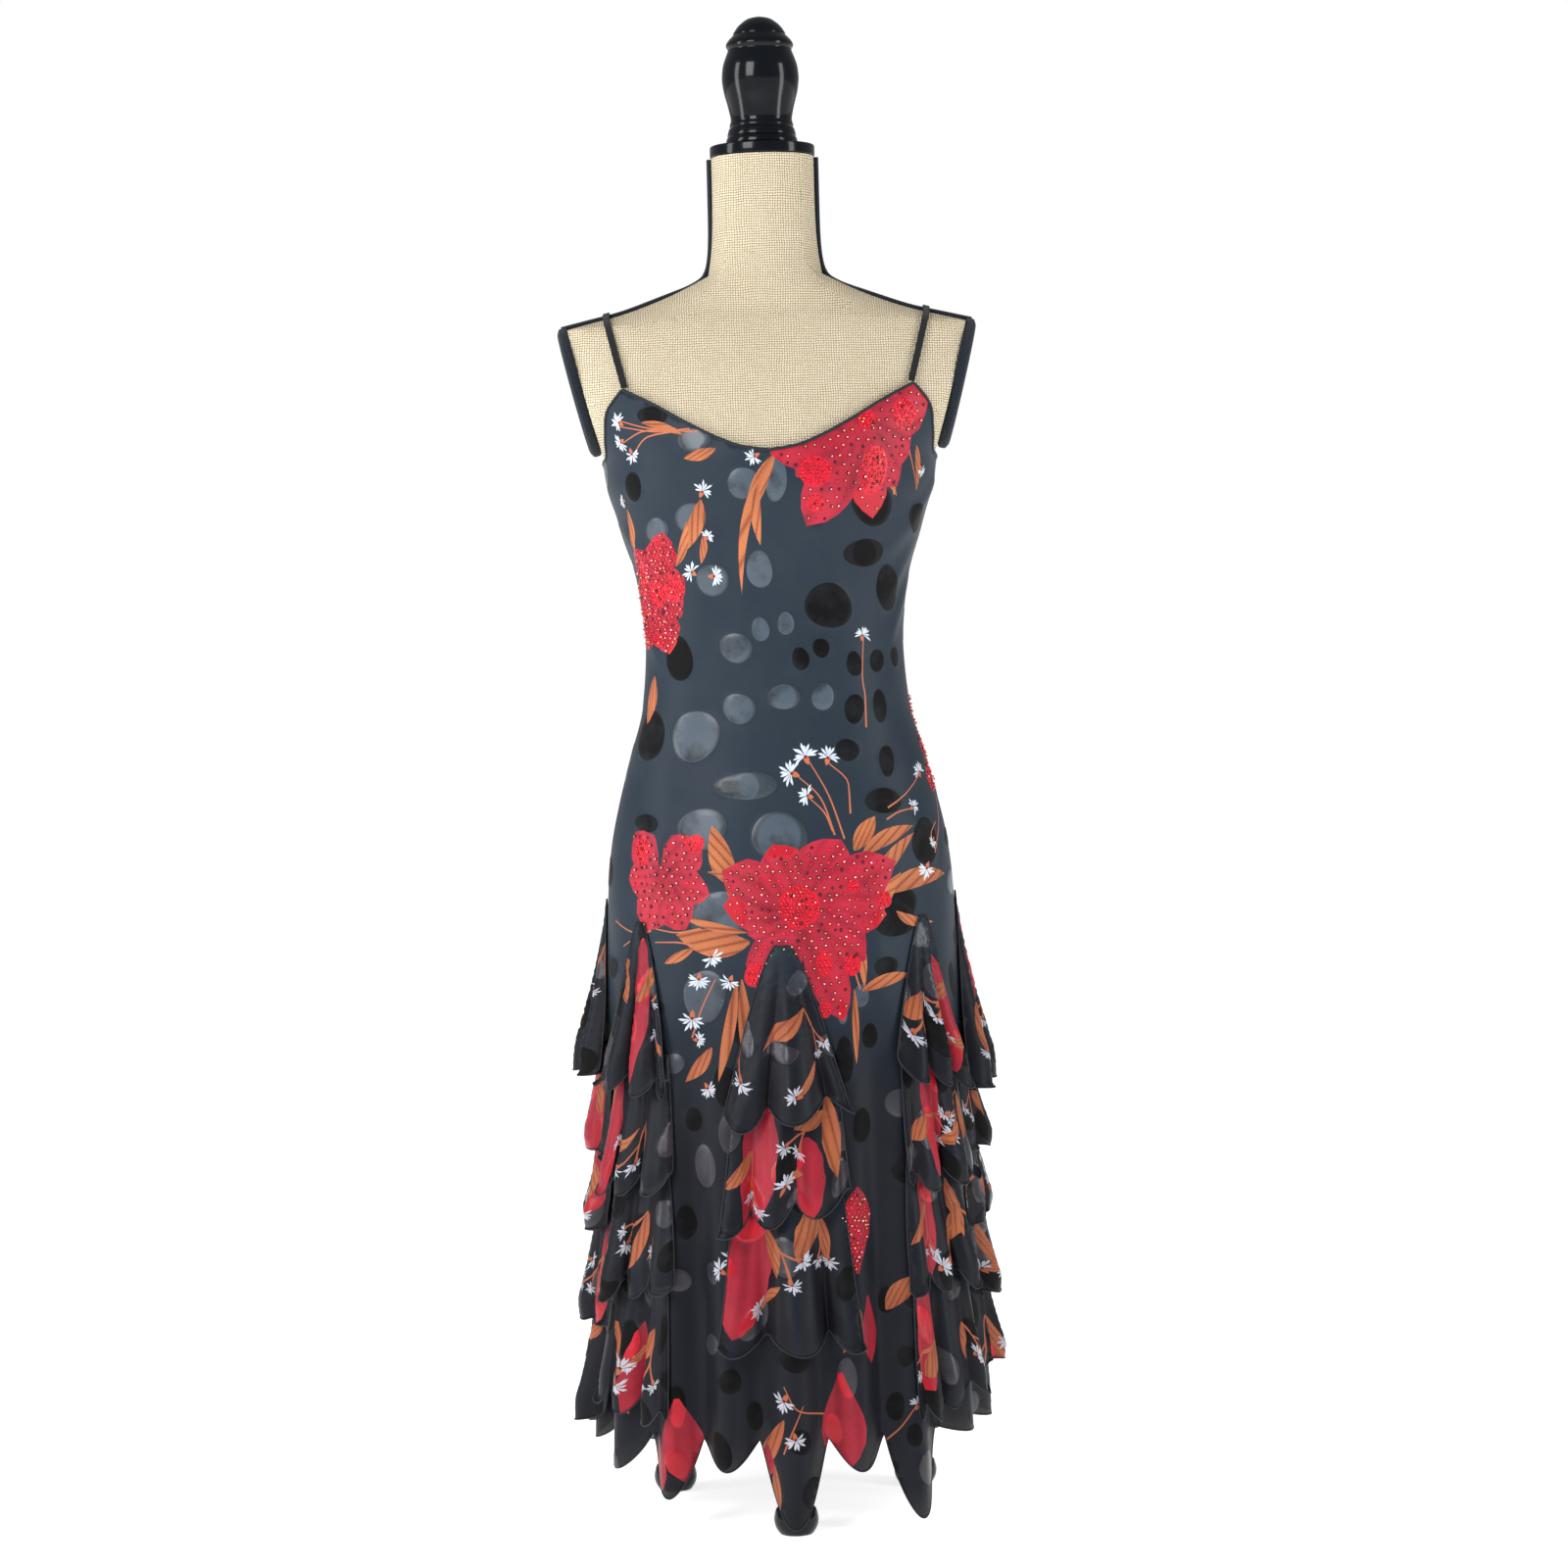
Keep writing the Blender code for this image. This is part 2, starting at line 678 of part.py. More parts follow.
FINIAL_PROFILE = (
    (0.0, 1.3500), (0.0110, 1.3478), (0.0190, 1.3415), (0.0234, 1.3350), (0.0250, 1.3310),
    (0.0300, 1.3262), (0.0304, 1.3236), (0.0292, 1.3183), (0.0338, 1.3060), (0.0350, 1.2940),
    (0.0334, 1.2820), (0.0300, 1.2700), (0.0272, 1.2575), (0.0290, 1.2507), (0.0313, 1.2420),
    (0.0330, 1.2352),
)


def neck_and_finial():
    low = NECK_TOP_Z + SEAM_GAP
    high = low + NECK_PLATE_THICK
    bevel = 0.0012
    turned("neck_plate", (
        (NECK_PLATE_RADIUS - bevel, high), (NECK_PLATE_RADIUS, high - bevel),
        (NECK_PLATE_RADIUS, low + bevel), (NECK_PLATE_RADIUS - bevel, low),
    ), BLACK_PAINT, steps=32)
    profile = [*FINIAL_PROFILE, (FINIAL_PROFILE[-1][0], high + SEAM_GAP)]
    turned("finial", profile, BLACK_PAINT)


def stand():
    top = FORM[-1].z - SEAM_GAP
    flange = 0.034
    turned("stand_pole", (
        (flange, top), (flange, top - 0.006), (POLE_RADIUS, top - 0.012),
        (POLE_RADIUS, HUB_TOP_Z + SEAM_GAP),
    ), BLACK_PAINT, steps=16)
    turned("stand_hub", (
        (0.018, HUB_TOP_Z), (0.021, HUB_TOP_Z - 0.006), (0.016, HUB_TOP_Z - 0.018),
        (HUB_RADIUS, HUB_TOP_Z - 0.030), (HUB_RADIUS, HUB_FOOT_Z + 0.014),
        (0.022, HUB_FOOT_Z + 0.004), (0.014, HUB_FOOT_Z),
    ), BLACK_PAINT)
    for number in range(LEG_COUNT):
        turn = LEG_TURN + 360.0 / LEG_COUNT * number
        name = ("front", "back_right", "back_left")[number]
        leg(f"stand_leg_{name}", turn)
        spot = outward(turn) * FOOT_REACH
        turned(f"stand_foot_{name}", (
            (0.0125, FOOT_HEIGHT), (0.0180, FOOT_HEIGHT - 0.0035),
            (FOOT_RADIUS, FOOT_HEIGHT * 0.52), (0.0190, 0.0050), (0.0150, 0.0),
        ), BLACK_PAINT, center=(spot.x, spot.y))


# The leg's middle line: reach from the pole's axis, height, and thickness share
LEG_START = HUB_RADIUS * math.cos(math.pi / TURNED_STEPS) + SEAM_GAP
LEG_LINE = (
    (LEG_START, 0.1500, 1.15), (0.0480, 0.1560, 1.15), (0.0700, 0.1500, 1.10),
    (0.0900, 0.1280, 1.00), (0.1040, 0.0980, 0.92), (0.1140, 0.0680, 0.88),
    (0.1230, 0.0440, 0.90), (0.1290, 0.0268, 0.98),
)


def leg(name, turn):
    """A curved leg from the hub out and down to its foot."""
    bm = bmesh.new()
    ahead = outward(turn)
    beside = Vector((-ahead.y, ahead.x, 0.0))
    sides = 10
    rings = []
    for index, (reach, z, share) in enumerate(LEG_LINE):
        before = LEG_LINE[max(index - 1, 0)]
        after = LEG_LINE[min(index + 1, len(LEG_LINE) - 1)]
        run = Vector((after[0] - before[0], after[1] - before[1])).normalized()
        if index == 0:
            run = Vector((1.0, 0.0))
        if index == len(LEG_LINE) - 1:
            run = Vector((0.0, -1.0))
        across = ahead * -run.y + Vector((0.0, 0.0, run.x))
        center = ahead * reach + Vector((0.0, 0.0, z))
        radius = LEG_RADIUS * share
        rings.append([
            bm.verts.new(center + across * (radius * math.cos(2 * math.pi * corner / sides))
                         + beside * (radius * math.sin(2 * math.pi * corner / sides)))
            for corner in range(sides)
        ])
    loft(bm, rings)
    return add_object(name, bm, BLACK_PAINT)


def main():
    clear_scene()
    form_torso()
    neck_and_finial()
    for side, name in ((-1, "left"), (1, "right")):
        arm_plate(f"arm_plate_{name}", side)
        arm_braid(f"arm_braid_{name}", side)
        seam_braid(f"seam_braid_{name}", side)
        strap(f"strap_{name}", side)
    dress_panel("dress_front", -90.0)
    dress_panel("dress_back", 90.0)
    for column in COLUMNS:
        for number, tier in enumerate(column.tiers, start=1):
            ruffle(column, number, tier)
    stand()


main()
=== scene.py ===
"""Slip dress with ruffle columns on a burlap dress form: finishes, print, beads and studio.

Metres, +Z up, the dress faces -Y. A place is given by its height and its turn: the angle round
the pole in degrees, 0 at the centre front, 90 at the viewer's right side, 180 at the back.
"""

import json
import math
import random
from collections import namedtuple

import bpy
import numpy as np
from bpy.props import FloatProperty, FloatVectorProperty, IntProperty, PointerProperty
from bpy.types import Operator, Panel, PropertyGroup
from mathutils import Matrix, Vector
from mathutils.geometry import delaunay_2d_cdt

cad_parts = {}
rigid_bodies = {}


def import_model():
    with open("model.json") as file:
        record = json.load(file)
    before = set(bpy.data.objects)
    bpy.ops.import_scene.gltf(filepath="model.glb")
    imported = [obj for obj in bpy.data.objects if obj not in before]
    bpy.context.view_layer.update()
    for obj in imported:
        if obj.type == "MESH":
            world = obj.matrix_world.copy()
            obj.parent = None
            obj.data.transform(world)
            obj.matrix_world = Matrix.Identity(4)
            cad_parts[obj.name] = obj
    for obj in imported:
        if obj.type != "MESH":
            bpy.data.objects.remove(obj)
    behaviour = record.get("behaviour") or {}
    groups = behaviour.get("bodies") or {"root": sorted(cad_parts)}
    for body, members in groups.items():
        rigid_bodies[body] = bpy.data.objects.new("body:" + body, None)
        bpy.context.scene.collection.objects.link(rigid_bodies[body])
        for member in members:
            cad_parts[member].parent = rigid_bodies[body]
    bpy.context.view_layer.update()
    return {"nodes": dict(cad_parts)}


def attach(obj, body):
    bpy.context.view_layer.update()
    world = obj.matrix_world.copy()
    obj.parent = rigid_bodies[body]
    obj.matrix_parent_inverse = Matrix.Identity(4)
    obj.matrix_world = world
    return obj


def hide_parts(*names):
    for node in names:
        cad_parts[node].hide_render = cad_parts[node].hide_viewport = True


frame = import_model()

bl_info = {
    "name": "Slip dress on a dress form",
    "version": (1, 0, 0),
    "blender": (4, 5, 0),
    "location": "3D View > Sidebar > Dress",
    "description": "Builds the cloth, print, beads and form of a slip dress round its frame",
    "category": "Object",
}


def named_rows(kind, rows):
    """Rows of values, each with the names of its kind."""
    return tuple(kind(*row) for row in rows)


# The cloth's own sizes
CLOTH = 0.0015
BODY_CLEARANCE = 0.0005
RUFFLE_SEAM_GAP = 0.0010
SIDE_SEAM_TURN = 0.045
CHEST_Z = 0.925
HIP_Z = 0.574
CHEST_EASE, CHEST_EASE_REACH = 0.0016, 0.02
WAIST_EASE = 0.006
WAIST_Z = 0.77
WAIST_EASE_REACH = 0.11
SECTION_POWER = 2.2

# Sections of the body above the hip: height, half width, depth in front and behind
Section = namedtuple("Section", "z side front back flute")
BODY = named_rows(Section, (
    (1.0700, 0.1885, 0.0740, 0.0790, 0),
    (1.0400, 0.1950, 0.0890, 0.0910, 0),
    (1.0000, 0.1850, 0.1060, 0.0960, 0),
    (0.9700, 0.1600, 0.1170, 0.0955, 0),
    (0.9500, 0.1475, 0.1210, 0.0940, 0),
    (CHEST_Z, 0.1438, 0.1205, 0.0910, 0),
    (0.8870, 0.1337, 0.1100, 0.0850, 0),
    (0.8436, 0.1210, 0.0945, 0.0790, 0),
    (0.7875, 0.1144, 0.0850, 0.0755, 0),
    (0.7306, 0.1186, 0.0870, 0.0830, 0),
    (0.6880, 0.1302, 0.0930, 0.0960, 0),
    (0.6450, 0.1420, 0.0995, 0.1090, 0),
    (0.6030, 0.1508, 0.1050, 0.1170, 0),
))
# Sections of the skirt, with how deep its flutes stand
SKIRT = named_rows(Section, (
    (HIP_Z, 0.1560, 0.1098, 0.1212, 0.0000),
    (0.5200, 0.1585, 0.1150, 0.1240, 0.0005),
    (0.4500, 0.1610, 0.1220, 0.1290, 0.0015),
    (0.3700, 0.1640, 0.1300, 0.1340, 0.0035),
    (0.2900, 0.1660, 0.1360, 0.1390, 0.0055),
    (0.2100, 0.1680, 0.1420, 0.1440, 0.0075),
    (0.1400, 0.1700, 0.1470, 0.1480, 0.0090),
    (0.0700, 0.1720, 0.1510, 0.1520, 0.0100),
    (0.0000, 0.1735, 0.1545, 0.1550, 0.0110),
))
HEM_NOTCH_Z = 0.086
HEM_POINT_POWER = 0.55

# Each flute of the skirt: its turn, how much of the full depth it has, and its lowest point
Flute = namedtuple("Flute", "turn depth low")
FLUTES = named_rows(Flute, (
    (0.0, 1.00, 0.010), (17.5, 0.80, 0.058), (36.0, 1.05, 0.012),
    (61.0, 0.75, 0.078), (88.0, 0.90, 0.078), (112.0, 0.80, 0.070),
    (135.0, 1.00, 0.040), (157.5, 0.75, 0.062), (180.0, 1.00, 0.030),
    (202.5, 0.80, 0.060), (225.0, 1.00, 0.036), (248.0, 0.75, 0.058),
    (272.0, 0.95, 0.066), (299.0, 0.85, 0.052), (324.0, 1.00, 0.034),
    (342.5, 0.80, 0.060),
))

# The upper edges of the panels by turn and height, given on one half and mirrored
FRONT_EDGE = (
    (0.0, 0.9555), (7.5, 0.9594), (15.0, 0.9682),
    (22.5, 0.9812), (30.0, 0.9975), (40.0, 1.0135),
    (47.0, 0.9990), (60.0, 0.9750), (75.0, 0.9545),
    (90.0, 0.9500),
)
BACK_EDGE = (
    (90.0, 0.9500), (105.0, 0.9530), (120.0, 0.9600),
    (132.0, 0.9700), (137.5, 0.9740), (145.0, 0.9660),
    (165.0, 0.9560), (180.0, 0.9530),
)

# The ruffle columns: middle turn, half width in degrees, and where their waves start.
# Each tier has its top, its foot, its waves, where they start and how far they flare.
Tier = namedtuple("Tier", "top foot waves start flare")
Column = namedtuple("Column", "name turn half start tiers")
RIGHT_TIERS = named_rows(Tier, (
    (0.556, 0.385, 3.0, 0.10, 0.027),
    (0.412, 0.326, 3.0, 0.55, 0.014),
    (0.350, 0.266, 3.0, 0.25, 0.010),
    (0.290, 0.192, 3.0, 0.80, 0.016),
    (0.218, 0.130, 3.0, 0.40, 0.012),
))
LEFT_TIERS = named_rows(Tier, (
    (0.556, 0.402, 3.0, 0.10, 0.025),
    (0.428, 0.335, 3.0, 0.55, 0.012),
    (0.360, 0.262, 3.0, 0.25, 0.014),
    (0.288, 0.176, 3.0, 0.80, 0.014),
    (0.202, 0.082, 3.0, 0.40, 0.020),
))
FRONT_TIERS = named_rows(Tier, (
    (0.540, 0.398, 3.0, 0.60, 0.020),
    (0.424, 0.308, 3.0, 0.15, 0.018),
    (0.334, 0.216, 3.0, 0.85, 0.016),
    (0.242, 0.112, 3.0, 0.35, 0.016),
))
CENTER_TIERS = named_rows(Tier, (
    (0.519, 0.372, 2.5, 0.50, 0.020),
    (0.398, 0.286, 2.5, 0.05, 0.018),
    (0.312, 0.172, 2.5, 0.65, 0.018),
))
COLUMNS = named_rows(Column, (
    ("center", 0.0, 17.0, 0.00, CENTER_TIERS),
    ("front_right", 51.0, 17.5, 0.00, FRONT_TIERS),
    ("front_left", -51.0, 17.5, 0.37, FRONT_TIERS),
    ("side_right", 90.0, 17.5, 0.15, RIGHT_TIERS),
    ("side_left", -90.0, 17.5, 0.60, LEFT_TIERS),
    ("back_right", 130.0, 17.5, 0.45, FRONT_TIERS),
    ("back_left", -130.0, 17.5, 0.80, FRONT_TIERS),
    ("back", 180.0, 17.5, 0.25, FRONT_TIERS),
))
RUFFLE_LIFT = 0.007
RUFFLE_SWAY = 0.0035
RUFFLE_DIP = 0.0035
HEM_CURL, SIDE_CURL, HEM_TUCK = 0.0080, 0.0020, 0.0075
APEX_HALF_TURN = 1.5
TIER_TOP_SHARE = 0.82


def smooth(keys, values, at):
    """Reads a table with a curve that never overshoots its rows."""
    keys, values = np.asarray(keys, float), np.asarray(values, float)
    step = np.diff(keys)
    slope = np.diff(values) / step
    bend = np.zeros(len(keys))
    same = slope[:-1] * slope[1:] > 0
    low, high = 2 * step[1:] + step[:-1], step[1:] + 2 * step[:-1]
    safe = np.where(same, slope[:-1] * slope[1:], 1.0)
    mean = (low + high) * safe / (low * slope[1:] + high * slope[:-1] + 1e-30 * ~same)
    bend[1:-1] = np.where(same, mean, 0.0)
    bend[0], bend[-1] = slope[0], slope[-1]
    at = np.clip(at, keys[0], keys[-1])
    row = np.clip(np.searchsorted(keys, at) - 1, 0, len(step) - 1)
    share = (at - keys[row]) / step[row]
    width = step[row]
    square, cube = share ** 2, share ** 3
    return (
        (2 * cube - 3 * square + 1) * values[row]
        + (cube - 2 * square + share) * width * bend[row]
        + (3 * square - 2 * cube) * values[row + 1]
        + (cube - square) * width * bend[row + 1]
    )


def crest_share(angle):
    """A wave between 0 and 1, with 1 on its crest."""
    return 0.5 + 0.5 * np.cos(angle)


def eased(share):
    """A share from 0 to 1 that starts and ends softly."""
    return share * share * (3 - 2 * share)


def relax(values, rounds):
    """Smooths a row of numbers; its two ends stay."""
    for _ in range(rounds):
        values[1:-1] = (values[:-2] + 2 * values[1:-1] + values[2:]) / 4


def dress_sections():
    """One table of the dress's sections from hem to shoulder, lowest first."""
    ease = BODY_CLEARANCE + CLOTH
    body = [
        Section(row.z, row.side + ease, row.front + ease, row.back + ease, 0.0) for row in BODY
    ]
    return sorted([*body, *SKIRT], key=lambda row: row.z)


DRESS = {
    name: np.array([getattr(row, name) for row in dress_sections()])
    for name in Section._fields
}


def signed_power(value, exponent):
    return np.sign(value) * np.abs(value) ** exponent


def flute_place(turn):
    """Each turn's place between two flutes, with those flutes' depths and lowest points."""
    turns = np.array([flute.turn for flute in FLUTES] + [FLUTES[0].turn + 360])
    folded = np.mod(turn - turns[0], 360) + turns[0]
    low = np.clip(np.searchsorted(turns, folded, side="right") - 1, 0, len(FLUTES) - 1)
    share = (folded - turns[low]) / (turns[low + 1] - turns[low])
    return low, (low + 1) % len(FLUTES), share


def flute_wave(turn):
    low, high, share = flute_place(turn)
    depth = np.array([flute.depth for flute in FLUTES])
    blend = 0.5 - 0.5 * np.cos(np.pi * share)
    return (depth[low] * (1 - blend) + depth[high] * blend) * np.cos(2 * np.pi * share)


def hem_z(turn):
    low, high, share = flute_place(turn)
    lowest = np.array([flute.low for flute in FLUTES])
    crest = crest_share(2 * np.pi * share) ** HEM_POINT_POWER
    return HEM_NOTCH_Z - (HEM_NOTCH_Z - np.where(share < 0.5, lowest[low], lowest[high])) * crest


# Soft creases of the cloth: where each starts and ends, its half width and how far it stands
Crease = namedtuple("Crease", "turn z end_turn end_z width height")
CREASES = named_rows(Crease, (
    (78, 0.905, 30, 0.840, 0.011, 0.0016),
    (80, 0.880, 42, 0.800, 0.010, 0.0018),
    (84, 0.850, 52, 0.770, 0.009, 0.0016),
    (86, 0.930, 60, 0.890, 0.008, 0.0018),
    (12, 0.905, 30, 0.800, 0.012, 0.0012),
    (-20, 0.900, -34, 0.800, 0.011, 0.0012),
    (-6, 0.880, -14, 0.780, 0.010, 0.0010),
    (-84, 0.900, -50, 0.850, 0.010, 0.0015),
    (-86, 0.820, -48, 0.760, 0.010, 0.0014),
    (-82, 0.700, -30, 0.655, 0.012, 0.0013),
    (86, 0.690, 40, 0.650, 0.012, 0.0012),
    (-30, 0.720, 14, 0.690, 0.013, 0.0010),
    (50, 0.640, 62, 0.560, 0.010, 0.0012),
    (-38, 0.640, -48, 0.560, 0.010, 0.0012),
    (12, 0.600, 4, 0.520, 0.010, 0.0014),
    (-8, 0.590, -3, 0.520, 0.010, 0.0012),
    (30, 0.560, 28, 0.420, 0.010, 0.0022),
    (-28, 0.560, -30, 0.430, 0.010, 0.0022),
    (104, 0.900, 150, 0.830, 0.011, 0.0015),
    (-104, 0.900, -150, 0.830, 0.011, 0.0015),
    (110, 0.840, 160, 0.775, 0.012, 0.0016),
    (-108, 0.850, -158, 0.790, 0.012, 0.0015),
    (106, 0.720, 140, 0.690, 0.011, 0.0013),
    (-112, 0.715, -146, 0.680, 0.011, 0.0013),
    (172, 0.800, 186, 0.690, 0.014, 0.0012),
    (155, 0.560, 154, 0.420, 0.010, 0.0020),
    (-155, 0.560, -156, 0.420, 0.010, 0.0020),
    (110, 0.560, 109, 0.430, 0.010, 0.0020),
    (-110, 0.560, -109, 0.430, 0.010, 0.0020),
))
CREASE_RADIUS, CREASE_GAIN = 0.125, 1.5


def crease_lift(turn, z):
    """How far the soft creases stand out at each place."""
    total = np.zeros(np.shape(z))
    for crease in CREASES:
        away = np.mod(turn - crease.turn + 180, 360) - 180
        x, y = np.radians(away) * CREASE_RADIUS, z - crease.z
        span_x = math.radians(crease.end_turn - crease.turn) * CREASE_RADIUS
        span_y = crease.end_z - crease.z
        length = math.hypot(span_x, span_y)
        along = (x * span_x + y * span_y) / length ** 2
        beside = (x * span_y - y * span_x) / length
        fade = np.clip(along, 0, 1) * np.clip(1 - along, 0, 1) * 4
        total += CREASE_GAIN * crease.height * fade * np.exp(-(beside / crease.width) ** 2)
    return total


def dress_points(turn, z, out=0.0):
    """Points of the dress's outer face, moved outwards, as rows of x, y and z."""
    turn, z = np.broadcast_arrays(np.asarray(turn, float), np.asarray(z, float))
    side, front, back, flute = (
        smooth(DRESS["z"], DRESS[name], z) for name in ("side", "front", "back", "flute")
    )
    angle = np.radians(turn)
    across, ahead = np.sin(angle), np.cos(angle)
    depth = np.where(ahead >= 0, front, back)
    x = side * signed_power(across, 2 / SECTION_POWER)
    y = -depth * signed_power(ahead, 2 / SECTION_POWER)
    normal_x = signed_power(x / side, SECTION_POWER - 1) / side
    normal_y = signed_power(y / depth, SECTION_POWER - 1) / depth
    length = np.hypot(normal_x, normal_y)
    chest = CHEST_EASE * np.clip((z - CHEST_Z) / CHEST_EASE_REACH + 1, 0, 1)
    reach = np.minimum(np.abs(z - WAIST_Z) / WAIST_EASE_REACH, 1.0)
    waist = WAIST_EASE * crest_share(np.pi * reach) * np.abs(ahead)
    ease = np.where(z >= HIP_Z, chest + waist, 0.0)
    move = out + ease + flute * flute_wave(turn) + crease_lift(turn, z)
    return np.stack((x + normal_x / length * move, y + normal_y / length * move, z), -1)


def turn_of(spots):
    return np.degrees(np.arctan2(spots[:, 0], -spots[:, 1]))


def outward(turn):
    angle = np.radians(turn)
    return np.stack((np.sin(angle), -np.cos(angle), np.zeros(np.shape(turn))), -1)


# The print: every motif is a closed line on the flat cloth, and later ones lie over earlier ones
# The sheen-lit dot is the velvet pile dot with painted sheen
KINDS = (
    "ground", "satin_dot", "velvet_dot", "leaf", "stem", "red_petal", "red_glow", "daisy", "core"
)
GROUND, SHEEN_LIT_DOT, VELVET, LEAF, STEM, PETAL, GLOW, DAISY, CORE = range(len(KINDS))
Motif = namedtuple("Motif", "kind ring origin along wide")
# How wide a petal's root is beside its widest place, and how its ruffled rim waves
ROOT_SHARE, RIM_WAVES = 0.10, 23.0


def turned_by(points, degrees):
    """Flat points turned clockwise from straight up."""
    angle = math.radians(degrees)
    turn = np.array(((math.cos(angle), -math.sin(angle)), (math.sin(angle), math.cos(angle))))
    return np.asarray(points) @ turn


def way(degrees):
    return np.array((math.sin(math.radians(degrees)), math.cos(math.radians(degrees))))


def blade(kind, origin, degrees, length, width, widest=0.6, bend=0.0, steps=7, ruffled=0.0,
          blunt=0.85):
    """A petal, leaf or daisy ray: two curved sides from its root to its tip."""
    share = np.linspace(0.0, 1.0, steps + 1)
    bulge = np.sin(np.pi * share ** (math.log(0.5) / math.log(widest))) ** blunt
    half = width / 2 * (bulge + ROOT_SHARE * (1 - share))
    half = half * (1 + ruffled * np.sin(share * RIM_WAVES + degrees))
    middle = bend * length * share ** 2
    left = np.stack((middle - half, share * length), -1)
    right = np.stack((middle + half, share * length), -1)[::-1]
    ring = turned_by(np.concatenate((left, right[1:])), degrees) + origin
    return Motif(kind, ring, np.asarray(origin), way(degrees) / length, width)


def oval(kind, origin, wide, tall, degrees=0.0, steps=24, uneven=0.05):
    angle = np.linspace(0, 2 * np.pi, steps, endpoint=False)
    swell = uneven * (np.cos(2 * angle + wide * 900) + 0.6 * np.sin(3 * angle + tall * 700))
    ring = np.stack((np.cos(angle) * wide / 2, np.sin(angle) * tall / 2), -1)
    ring = turned_by(ring * (1 + swell)[:, None], degrees) + origin
    return Motif(kind, ring, np.asarray(origin), way(degrees) / tall, wide)


def line(kind, spots, width):
    """A stem along a few spots, thicker at its foot."""
    spots = np.asarray(spots, float)
    share = np.linspace(0, len(spots) - 1, 5 * (len(spots) - 1) + 1)
    keys = np.arange(len(spots))
    path = np.stack([smooth(keys, spots[:, axis], share) for axis in (0, 1)], -1)
    run = np.gradient(path, axis=0)
    side = np.stack((-run[:, 1], run[:, 0]), -1) / np.linalg.norm(run, axis=1)[:, None]
    half = width / 2 * np.linspace(0.7, 1.3, len(path))[:, None]
    ring = np.concatenate((path + side * half, (path - side * half)[::-1]))
    length = np.linalg.norm(path[-1] - path[0]) + 1e-6
    return Motif(kind, ring, path[0], (path[-1] - path[0]) / length ** 2, width)


def daisy(origin, degrees, size, draw):
    """A small daisy seen from the side: rays over a calyx, with a dark heart."""
    made = [blade(STEM, origin, degrees + 180, size * 0.55, size * 0.34, 0.35)]
    rays = 9 + int(draw.random() * 3)
    for ray in range(rays):
        spread = -88 + 176 * ray / (rays - 1) + draw.uniform(-7, 7)
        reach = size * draw.uniform(0.75, 1.0) * (1.0 if ray % 2 else 0.82)
        curl = 0.35 * spread / 88
        made.append(blade(DAISY, origin, degrees + spread, reach, size * 0.17, 0.72, curl, 4))
    made.append(oval(CORE, origin, size * 0.26, size * 0.2, degrees, 10))
    return made


def spray(root, degrees, length, draw, heads):
    """Thin stems from one root, each with a daisy at its end."""
    made = []
    for head in range(heads):
        spread = degrees + (head - (heads - 1) / 2) * draw.uniform(16, 24)
        reach = length * draw.uniform(0.75, 1.0)
        root = np.asarray(root, float)
        end = root + way(spread) * reach
        middle = root + way(degrees) * reach * 0.55
        made.append(line(STEM, (root, middle, end), 0.0016))
        made.extend(daisy(end, spread, draw.uniform(0.008, 0.011), draw))
    return made


def leaf(root, degrees, length, width, bend):
    return blade(LEAF, root, degrees, length, width, 0.5, bend, 9)


def flower(center, petals, heart):
    """A flower of broad pointed petals, given as their way, length and width."""
    made = []
    for degrees, length, width in petals:
        made.append(blade(PETAL, center, degrees, length, width, 0.62, 0.03, 9, 0.06))
    if heart:
        made.append(oval(GLOW, center, heart, heart, 0.0, 24, 0.03))
    return made


def inside(ring, points):
    """Which points lie within the ring."""
    found = np.zeros(len(points), bool)
    low, high = ring.min(0), ring.max(0)
    near = np.nonzero(((points >= low) & (points <= high)).all(1))[0]
    x, y = points[near, 0], points[near, 1]
    odd = np.zeros(len(near), bool)
    for (ax, ay), (bx, by) in zip(ring, np.roll(ring, -1, axis=0)):
        if ay == by:
            continue
        crosses = (ay > y) != (by > y)
        odd ^= crosses & (x < (bx - ax) * (y - ay) / (by - ay) + ax)
    found[near] = odd
    return found


def spaced_grid(outline, rings, spacing, keep_off):
    """Even points inside the outline, clear of every line that the print draws."""
    low, high = outline.min(0), outline.max(0)
    rise = spacing * math.sqrt(3) / 2
    rows = np.arange(low[1], high[1], rise)
    grid = [
        np.stack(np.broadcast_arrays(
            np.arange(low[0] + spacing / 2 * (index % 2), high[0], spacing), height), -1)
        for index, height in enumerate(rows)
    ]
    grid = np.concatenate(grid)
    grid = grid[inside(outline, grid)]
    taken = np.concatenate([outline, *rings])
    cells = {tuple(cell) for cell in np.floor(taken / keep_off).astype(int)}
    near = [(i, j) for i in (-1, 0, 1) for j in (-1, 0, 1)]
    blocked = {(a + i, b + j) for a, b in cells for i, j in near if abs(i) + abs(j) < 2}
    free = [tuple(cell) not in blocked for cell in np.floor(grid / keep_off).astype(int)]
    return grid[np.array(free)]


# A dot's pile: its height, and how far inside the dot's edge it stands full
PILE_HEIGHT, PILE_SLOPE = 0.0004, 0.0011
KEEP_OFF_SHARE = 0.42
SLIVER_AREA = 1e-11


